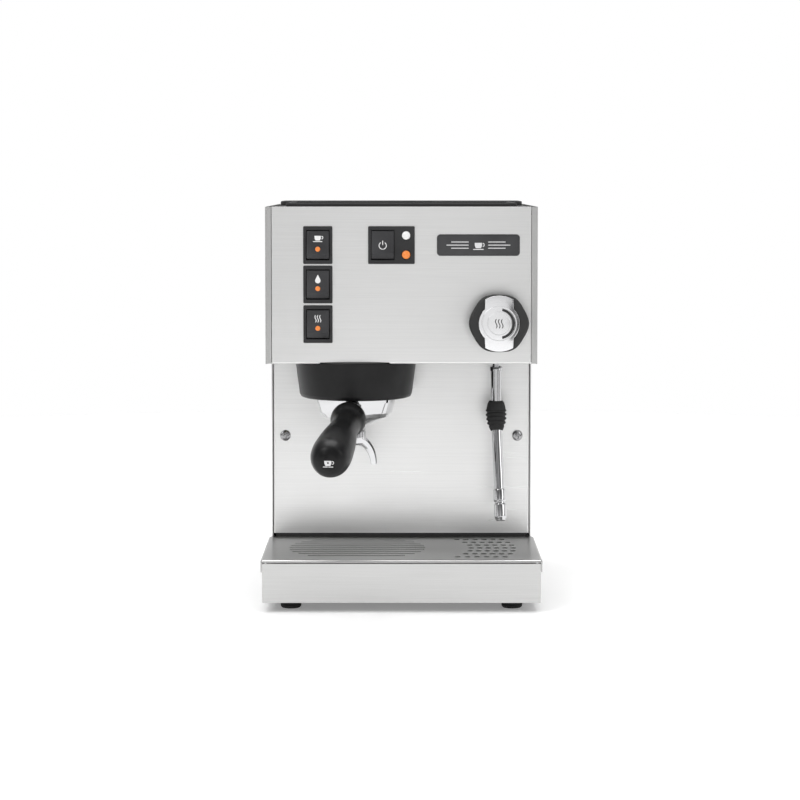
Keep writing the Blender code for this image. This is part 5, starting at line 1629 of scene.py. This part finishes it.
@dataclass
class Portafilter:
    """The bowl with its ears, basket, handle and open double spout."""

    bowl: float = 33.8 * MM
    inner: float = 30.4 * MM
    foot_z: float = 156.0 * MM
    outlet: float = 8.5 * MM
    collar: float = 15.0 * MM
    collar_length: float = 11.98 * MM
    grip: float = 16.5 * MM
    ear_reach: float = 39.2 * MM
    handle_start: float = 38.5 * MM
    handle_reach: float = 173.0 * MM
    collar_reach: float = 50.3 * MM
    collar_z: float = 157.8 * MM
    spread: float = 16.7 * MM

    def on_axis(self, reach: float) -> Vector:
        """The point on the handle's centre line at a level distance from the group's axis."""
        z = self.collar_z - (reach - self.collar_reach) * math.tan(DROOP)
        return GROUP + HANDLE_WAY * reach + Vector((0, 0, z))

    def build(self) -> None:
        """Makes the bowl, the basket, the handle and the spout."""
        low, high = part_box("portafilter_body")
        self.make_bowl(low.z, high.z)
        basket = softened("basket_shell", "filter_basket", SATIN_CHROME, 0.1 * MM)
        hand_over(basket, "portafilter", "chrome", "filter_basket")
        self.make_handle()
        self.make_spout()

    def make_bowl(self, bottom: float, top: float) -> None:
        """Makes the bowl as one turned shell with two ears and an arm.

        Args:
            bottom: The height of its outlet.
            top: The height of its rim.
        """
        foot, inner, bowl, outlet = self.foot_z, self.inner, self.bowl, self.outlet
        profile = [(inner, top), (bowl - 0.5 * MM, top), (bowl, top - 0.6 * MM),
                   (bowl + 0.3 * MM, top - 12 * MM), (bowl, top - 18 * MM),
                   (31.3 * MM, foot + 4 * MM), (28.5 * MM, foot),
                   (14 * MM, bottom + 6 * MM), (9.2 * MM, bottom + 4.2 * MM),
                   (outlet, bottom + 3 * MM), (outlet, bottom), (3.5 * MM, bottom),
                   (3.5 * MM, foot + 1 * MM), (22.4 * MM, foot + 3 * MM),
                   (inner, foot + 8 * MM), (inner, top)]
        shell = lathe(rounded(profile, 2.4 * MM), Matrix.Translation(GROUP), 144)
        turn = Matrix.Translation(GROUP) @ Matrix.Rotation(-SWING, 4, "Z")
        parts = [shell]
        ear = [polar(self.ear_reach, angle) for angle in range(-13, 14, 2)]
        ear += [polar(bowl - 1.5 * MM, angle) for angle in range(14, -15, -2)]
        for side in (0, math.pi):
            place = turn @ Matrix.Rotation(side, 4, "Z") @ Matrix.Translation((0, 0, top - 4.5 * MM))
            parts.append(slab(ear, place, 4.0 * MM, 0.5 * MM))
        arm = [self.on_axis(reach) for reach in (bowl - 3 * MM, bowl + 1 * MM, self.handle_start - 0.3 * MM)]
        parts.append(sweep(arm, [8.0 * MM, 6.8 * MM, 6.5 * MM], 48))
        piece = mesh_object("bowl_shell", join(*parts), CHROME, 35.0)
        hand_over(piece, "portafilter", "chrome", "portafilter_body")

    def make_handle(self) -> None:
        """Makes the handle, with a cup printed on its rounded end and a bright ring at its collar."""
        start, tip = self.on_axis(self.handle_start), self.on_axis(self.handle_reach)
        length = (start - tip).length
        collar, grip, reach = self.collar, self.grip, self.collar_length
        profile = [(collar * 0.66, length), (collar * 0.92, length - reach * 0.45), (collar, length - reach),
                   (collar * 0.95, length - reach - 6 * MM), (collar * 0.80, length - reach - 14 * MM)]
        shares = ((0.73, 0.70), (0.80, 0.58), (0.91, 0.42), (0.98, 0.27), (1.0, 0.17), (0.95, 0.09),
                  (0.76, 0.035), (0.42, 0.008))
        profile += [(grip * across, length * along) for across, along in shares]
        line = [(0, length), *flowing(profile), (0, 0)]
        place = frame_of(tip, start - tip)
        handle = mesh_object("handle_body", lathe(line, place, 96), HANDLE_PLASTIC, 40.0)
        hand_over(handle, "portafilter", "black_plastic", "portafilter_handle")
        self.emblem(place, length, grip)
        section = ((6.6, -0.2), (9.4, -0.2), (10.2, 0.1), (6.6, 0.1), (6.6, -0.2))
        ring = [(radius * MM, length + along * MM) for radius, along in section]
        ferrule = mesh_object("handle_ferrule", lathe(ring, place, 96), CHROME, 30.0)
        hand_over(ferrule, "portafilter", "chrome")

    def emblem(self, place: Matrix, length: float, grip: float) -> None:
        """Prints a plain cup on the rounded end of the handle.

        Args:
            place: The handle's own axes, from its tip.
            length: The handle's length.
            grip: Its largest radius.
        """
        out = -place.to_3x3().col[2]
        upright = (Vector((0, 0, 1)) - out * out.z).normalized()
        rows = Matrix((upright.cross(out), upright, out)).transposed().to_4x4()
        turned = Matrix.Translation(place.translation) @ rows
        sign = printed(Icon.CUP, 8.0 * MM, Matrix.Identity(4), 0.10 * MM)
        for vertex in sign.verts:
            share = math.hypot(vertex.co.x, vertex.co.y) / (grip * 0.42)
            vertex.co.z -= length * 0.008 * share**2
        sign.transform(turned)
        hand_over(mesh_object("handle_emblem", sign, SILVER_INK, 30.0), "portafilter", "black_plastic")

    def make_spout(self) -> None:
        """Makes the hub and the two open gutters that curve down and apart."""
        low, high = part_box("double_spout")
        section = ((0, 0), (8.5, 0), (8.5, -10.4), (7.9, -11), (0, -11))
        hub = [(radius * MM, high.z + height * MM) for radius, height in section]
        parts = [lathe(rounded(hub, 0.8 * MM), Matrix.Translation(GROUP), 64)]
        across = HANDLE_WAY.cross(Vector((0, 0, 1)))
        start = high.z - 6 * MM
        fall = start - low.z
        for side in (-1, 1):
            path = []
            for i in range(25):
                level, drop = polar(1, 90 - 90 * i / 24)
                height = Vector((0, 0, start - fall * (1 - drop)))
                path.append(GROUP + across * side * self.spread * level + height)
            parts.append(self.gutter(path, HANDLE_WAY, (7.0 * MM, 3.8 * MM), 0.9 * MM))
        arms = mesh_object("spout_arms", join(*parts), CHROME, 35.0)
        hand_over(arms, "portafilter", "chrome", "double_spout")

    def gutter(self, path: list, level: Vector, radii: tuple, wall: float) -> Shape:
        """Sweeps a half-round gutter, open on the outer side of its bend.

        Args:
            path: The points of its centre line.
            level: The level direction square to the plane of the bend.
            radii: Its outer radius at its start and at its mouth.
            wall: Its wall's thickness.

        Returns:
            The closed shape.
        """
        turns = list(range(-105, 106, 15))
        rings = []
        for i, point in enumerate(path):
            ahead = (path[min(i + 1, len(path) - 1)] - path[max(i - 1, 0)]).normalized()
            inward = ahead.cross(level).normalized()
            if inward.z > 0 or (abs(inward.z) < 1e-6 and inward.dot(GROUP - point) < 0):
                inward = -inward
            radius = radii[0] + (radii[1] - radii[0]) * i / (len(path) - 1)
            section = [polar(radius, turn) for turn in turns]
            section += [polar(radius - wall, turn) for turn in reversed(turns)]
            rings.append([point + inward * u + level * v for u, v in section])
        return skinned(rings)


@dataclass
class Fixings:
    """The splash panel's screws, the feet and the perforated cup plate."""

    screw_radius: float = 4.8 * MM
    screw_height: float = 2.3 * MM
    screw_turn: tuple = (math.pi / 2, 0.0, 0.3)
    foot_radius: float = 9.5 * MM
    plate_margin: float = 32.0 * MM
    plate_corner: float = 5.6 * MM
    plate_hole: float = 2.0 * MM
    plate_holes: tuple = (17, 11)

    def build(self) -> None:
        """Makes the screws, the feet and the plate."""
        self.screws()
        self.feet()
        self.cup_plate()

    def screws(self) -> None:
        """Makes both cross-head screws by geometry nodes."""
        low, high, left = extent("splash_screw_left")
        right = extent("splash_screw_right")[2]
        pattern = Pattern("splash_screws", SCREW_STEEL)
        graph = pattern.graph
        master = self.screw(high.y - low.y)
        info = graph.node("GeometryNodeObjectInfo", transform_space="ORIGINAL")
        info.inputs["Object"].default_value = master
        scale = graph.math("DIVIDE", pattern.size("Head radius", self.screw_radius), self.screw_radius)
        inputs = {"Count": 2, "Start Location": (left.x, low.y + self.screw_height, left.z),
                  "Offset": (right.x - left.x, 0.0, 0.0)}
        line = graph.node("GeometryNodeMeshLine", inputs).outputs[0]
        inputs = {"Points": line, "Instance": info.outputs["Geometry"], "Rotation": self.screw_turn,
                  "Scale": scale}
        placed = graph.node("GeometryNodeInstanceOnPoints", inputs).outputs[0]
        piece = pattern.finished(placed, 30.0)
        bpy.data.objects.remove(master)
        hand_over(piece, "frame", "chrome", "splash_screw_left", "splash_screw_right")

    def screw(self, length: float) -> Piece:
        """Makes one screw along local Z, with its head's underside at the origin.

        Args:
            length: Its whole length.

        Returns:
            The screw, which the pattern copies.
        """
        r, h = self.screw_radius, self.screw_height
        profile = [(0, h)]
        for i in range(1, 10):
            turn = math.pi / 2 * i / 9
            profile.append((r * math.sin(turn), 0.5 * MM + (h - 0.5 * MM) * math.cos(turn)))
        profile += [(r, 0), (1.8 * MM, 0), (1.8 * MM, h - length), (0, h - length)]
        recess = []
        for turn in (0, math.pi / 2):
            place = Matrix.Rotation(turn, 4, "Z") @ Matrix.Translation((0, 0, h - 1.5 * MM))
            recess.append(slab(rounded_rectangle(r * 1.15, 1.1 * MM, 0.4 * MM), place, 3 * MM))
        once = cut_out("screw", lathe(profile, Matrix.Identity(4), 48), recess[0], SCREW_STEEL)
        return cut_out("screw_master", taken(once), recess[1], SCREW_STEEL)

    def feet(self) -> None:
        """Makes the four rubber feet with a groove round each."""
        for side in ("front_left", "front_right", "back_left", "back_right"):
            node = "foot_" + side
            _, high, middle = extent(node)
            sides = ((0.80, 0), (0.90, 1), (0.93, 2.6), (0.88, 3.1), (0.96, 3.6), (1.0, 7), (0.97, 8))
            profile = [(0, 0)] + [(self.foot_radius * share, height * MM) for share, height in sides]
            profile += [(3 * MM, 8 * MM), (3 * MM, high.z), (0, high.z)]
            place = Matrix.Translation((middle.x, middle.y, 0))
            pad = mesh_object(node + "_pad", lathe(profile, place, 64), RUBBER, 35.0)
            hand_over(pad, "frame", "black_rubber", node)

    def cup_plate(self) -> None:
        """Makes the cup plate with rows of round holes."""
        low, high, middle = extent("cup_warmer_plate")
        sheet = Sheet("cup_plate", PANEL_STEEL)
        graph = sheet.graph
        width, depth = high.x - low.x, high.y - low.y
        edge = sheet.rectangle(width, depth, self.plate_corner, 0.0, middle.y)
        across, deep = self.plate_holes
        inputs = {"Size X": width - self.plate_margin, "Size Y": depth - self.plate_margin,
                  "Vertices X": sheet.count("Holes across", across),
                  "Vertices Y": sheet.count("Holes deep", deep)}
        grid = sheet.moved(graph.node("GeometryNodeMeshGrid", inputs).outputs[0], (0.0, middle.y, 0.0))
        holes = sheet.copies(grid, sheet.circle(sheet.size("Hole radius", self.plate_hole), 16))
        piece = sheet.finished(sheet.slotted([edge, holes], high.z - low.z, high.z), 30.0)
        hand_over(piece, "frame", "brushed_steel", "cup_warmer_plate")


@dataclass
class Studio:
    """The floor, the lights and the camera."""

    floor: float = 3.2
    eye: tuple = (-0.0012, -2.0, 0.3587)
    lens: float = 103.8
    pitch: float = 3.83
    shift: float = -0.0812
    belt: float = 0.22
    belt_bottom: tuple = (0.16, 0.42)
    belt_top: tuple = (0.62, 0.90)
    cards: tuple = (22.0, 46.0, 76.0)
    card_width: float = 0.24
    card_reach: float = 1.15
    card_foot: float = 0.03
    card_height: float = 0.75

    def build(self) -> None:
        """Sets the studio up."""
        self.ground()
        self.light("key", (-1.3, -1.5, 1.7), (0, 0, 0.15), 1.2, 16.0)
        self.light("fill", (1.7, -1.1, 1.0), (0, 0, 0.15), 1.0, 7.0)
        self.light("over", (0.0, 0.3, 2.2), (0, 0, 0.1), 1.6, 26.0)
        self.sky()
        for side in (-1, 1):
            for azimuth in self.cards:
                self.card(side * azimuth)
        bpy.context.scene.view_settings.view_transform = "Standard"
        camera = bpy.data.cameras.new("camera")
        camera.lens, camera.shift_y = self.lens, self.shift
        view = bpy.data.objects.new("camera", camera)
        view.location = self.eye
        view.rotation_euler = (math.radians(90 - self.pitch), 0, 0)
        bpy.context.scene.collection.objects.link(view)
        bpy.context.scene.camera = view

    def sky(self) -> None:
        """Makes the white surroundings, with a darker belt above them that the bright metal picks up."""
        world = bpy.data.worlds.new("studio")
        world.use_nodes = True
        graph = Graph(world.node_tree)
        way = graph.node("ShaderNodeTexCoord").outputs["Generated"]
        height = graph.node("ShaderNodeSeparateXYZ", {0: way}).outputs["Z"]
        falling = graph.ramp(height, *self.belt_bottom, 1.0, self.belt)
        rising = graph.ramp(height, *self.belt_top, 0.0, 1.0 - self.belt)
        put(world.node_tree.nodes["Background"], Color=(1.0, 1.0, 1.0, 1.0),
            Strength=graph.math("ADD", falling, rising))
        bpy.context.scene.world = world

    def card(self, azimuth: float) -> None:
        """Stands a dark card beside the machine, seen only in polished metal.

        Args:
            azimuth: Its direction from the front, in degrees to the right.
        """
        way = Vector((math.sin(math.radians(azimuth)), -math.cos(math.radians(azimuth)), 0))
        across = Vector((0, 0, 1)).cross(way) * self.card_width / 2
        foot = way * self.card_reach + Vector((0, 0, self.card_foot))
        top = foot + Vector((0, 0, self.card_height))
        bm = bmesh.new()
        outline = (foot - across, foot + across, top + across, top - across)
        bm.faces.new([bm.verts.new(point) for point in outline])
        piece = mesh_object(f"card_{round(azimuth) % 360}", bm, GROUP_PLASTIC)
        piece.visible_camera = piece.visible_diffuse = piece.visible_shadow = False

    def ground(self) -> None:
        """Makes the pale floor."""
        bm = bmesh.new()
        bmesh.ops.create_circle(bm, cap_ends=True, segments=96, radius=self.floor / 2)
        piece = mesh_object("floor", bm, Floor("pale_floor"))

    def light(self, name: str, place: tuple, target: tuple, size: float, power: float) -> None:
        """Adds a soft square light.

        Args:
            name: Its name.
            place: Where it hangs.
            target: What it faces.
            size: The length of its sides.
            power: Its power in watts.
        """
        lamp = bpy.data.lights.new(name, "AREA")
        lamp.energy, lamp.size = power, size
        holder = bpy.data.objects.new(name, lamp)
        holder.location = place
        holder.rotation_euler = (Vector(target) - Vector(place)).to_track_quat("-Z", "Y").to_euler()
        bpy.context.scene.collection.objects.link(holder)


@dataclass(frozen=True)
class Floor(Finish):
    """A pale studio floor with a faint unevenness."""

    def paint(self, graph: Graph, shader: Node, place: Socket) -> None:
        """Adds the faint unevenness. Args as in Finish."""
        cloud = graph.noise(place, 3.0, 3.0)
        put(shader, Base_Color=graph.tinted(cloud, (0.87, 0.87, 0.87), (0.91, 0.91, 0.91)), Roughness=0.85,
            Emission_Color=(1.0, 1.0, 1.0, 1.0), Emission_Strength=0.22)


def main() -> None:
    """Builds every piece and stages the studio."""
    logging.basicConfig(level=logging.INFO, format="%(name)s: %(message)s")
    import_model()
    parts = (Housing(), DripCover(), Switches(), Badge(), SteamKnob(), SteamWand(), Group(), Portafilter(),
             Fixings())
    for part in parts:
        LOG.info("building %s", type(part).__name__)
        part.build()
    Studio().build()


if __name__ == "__main__":
    main()
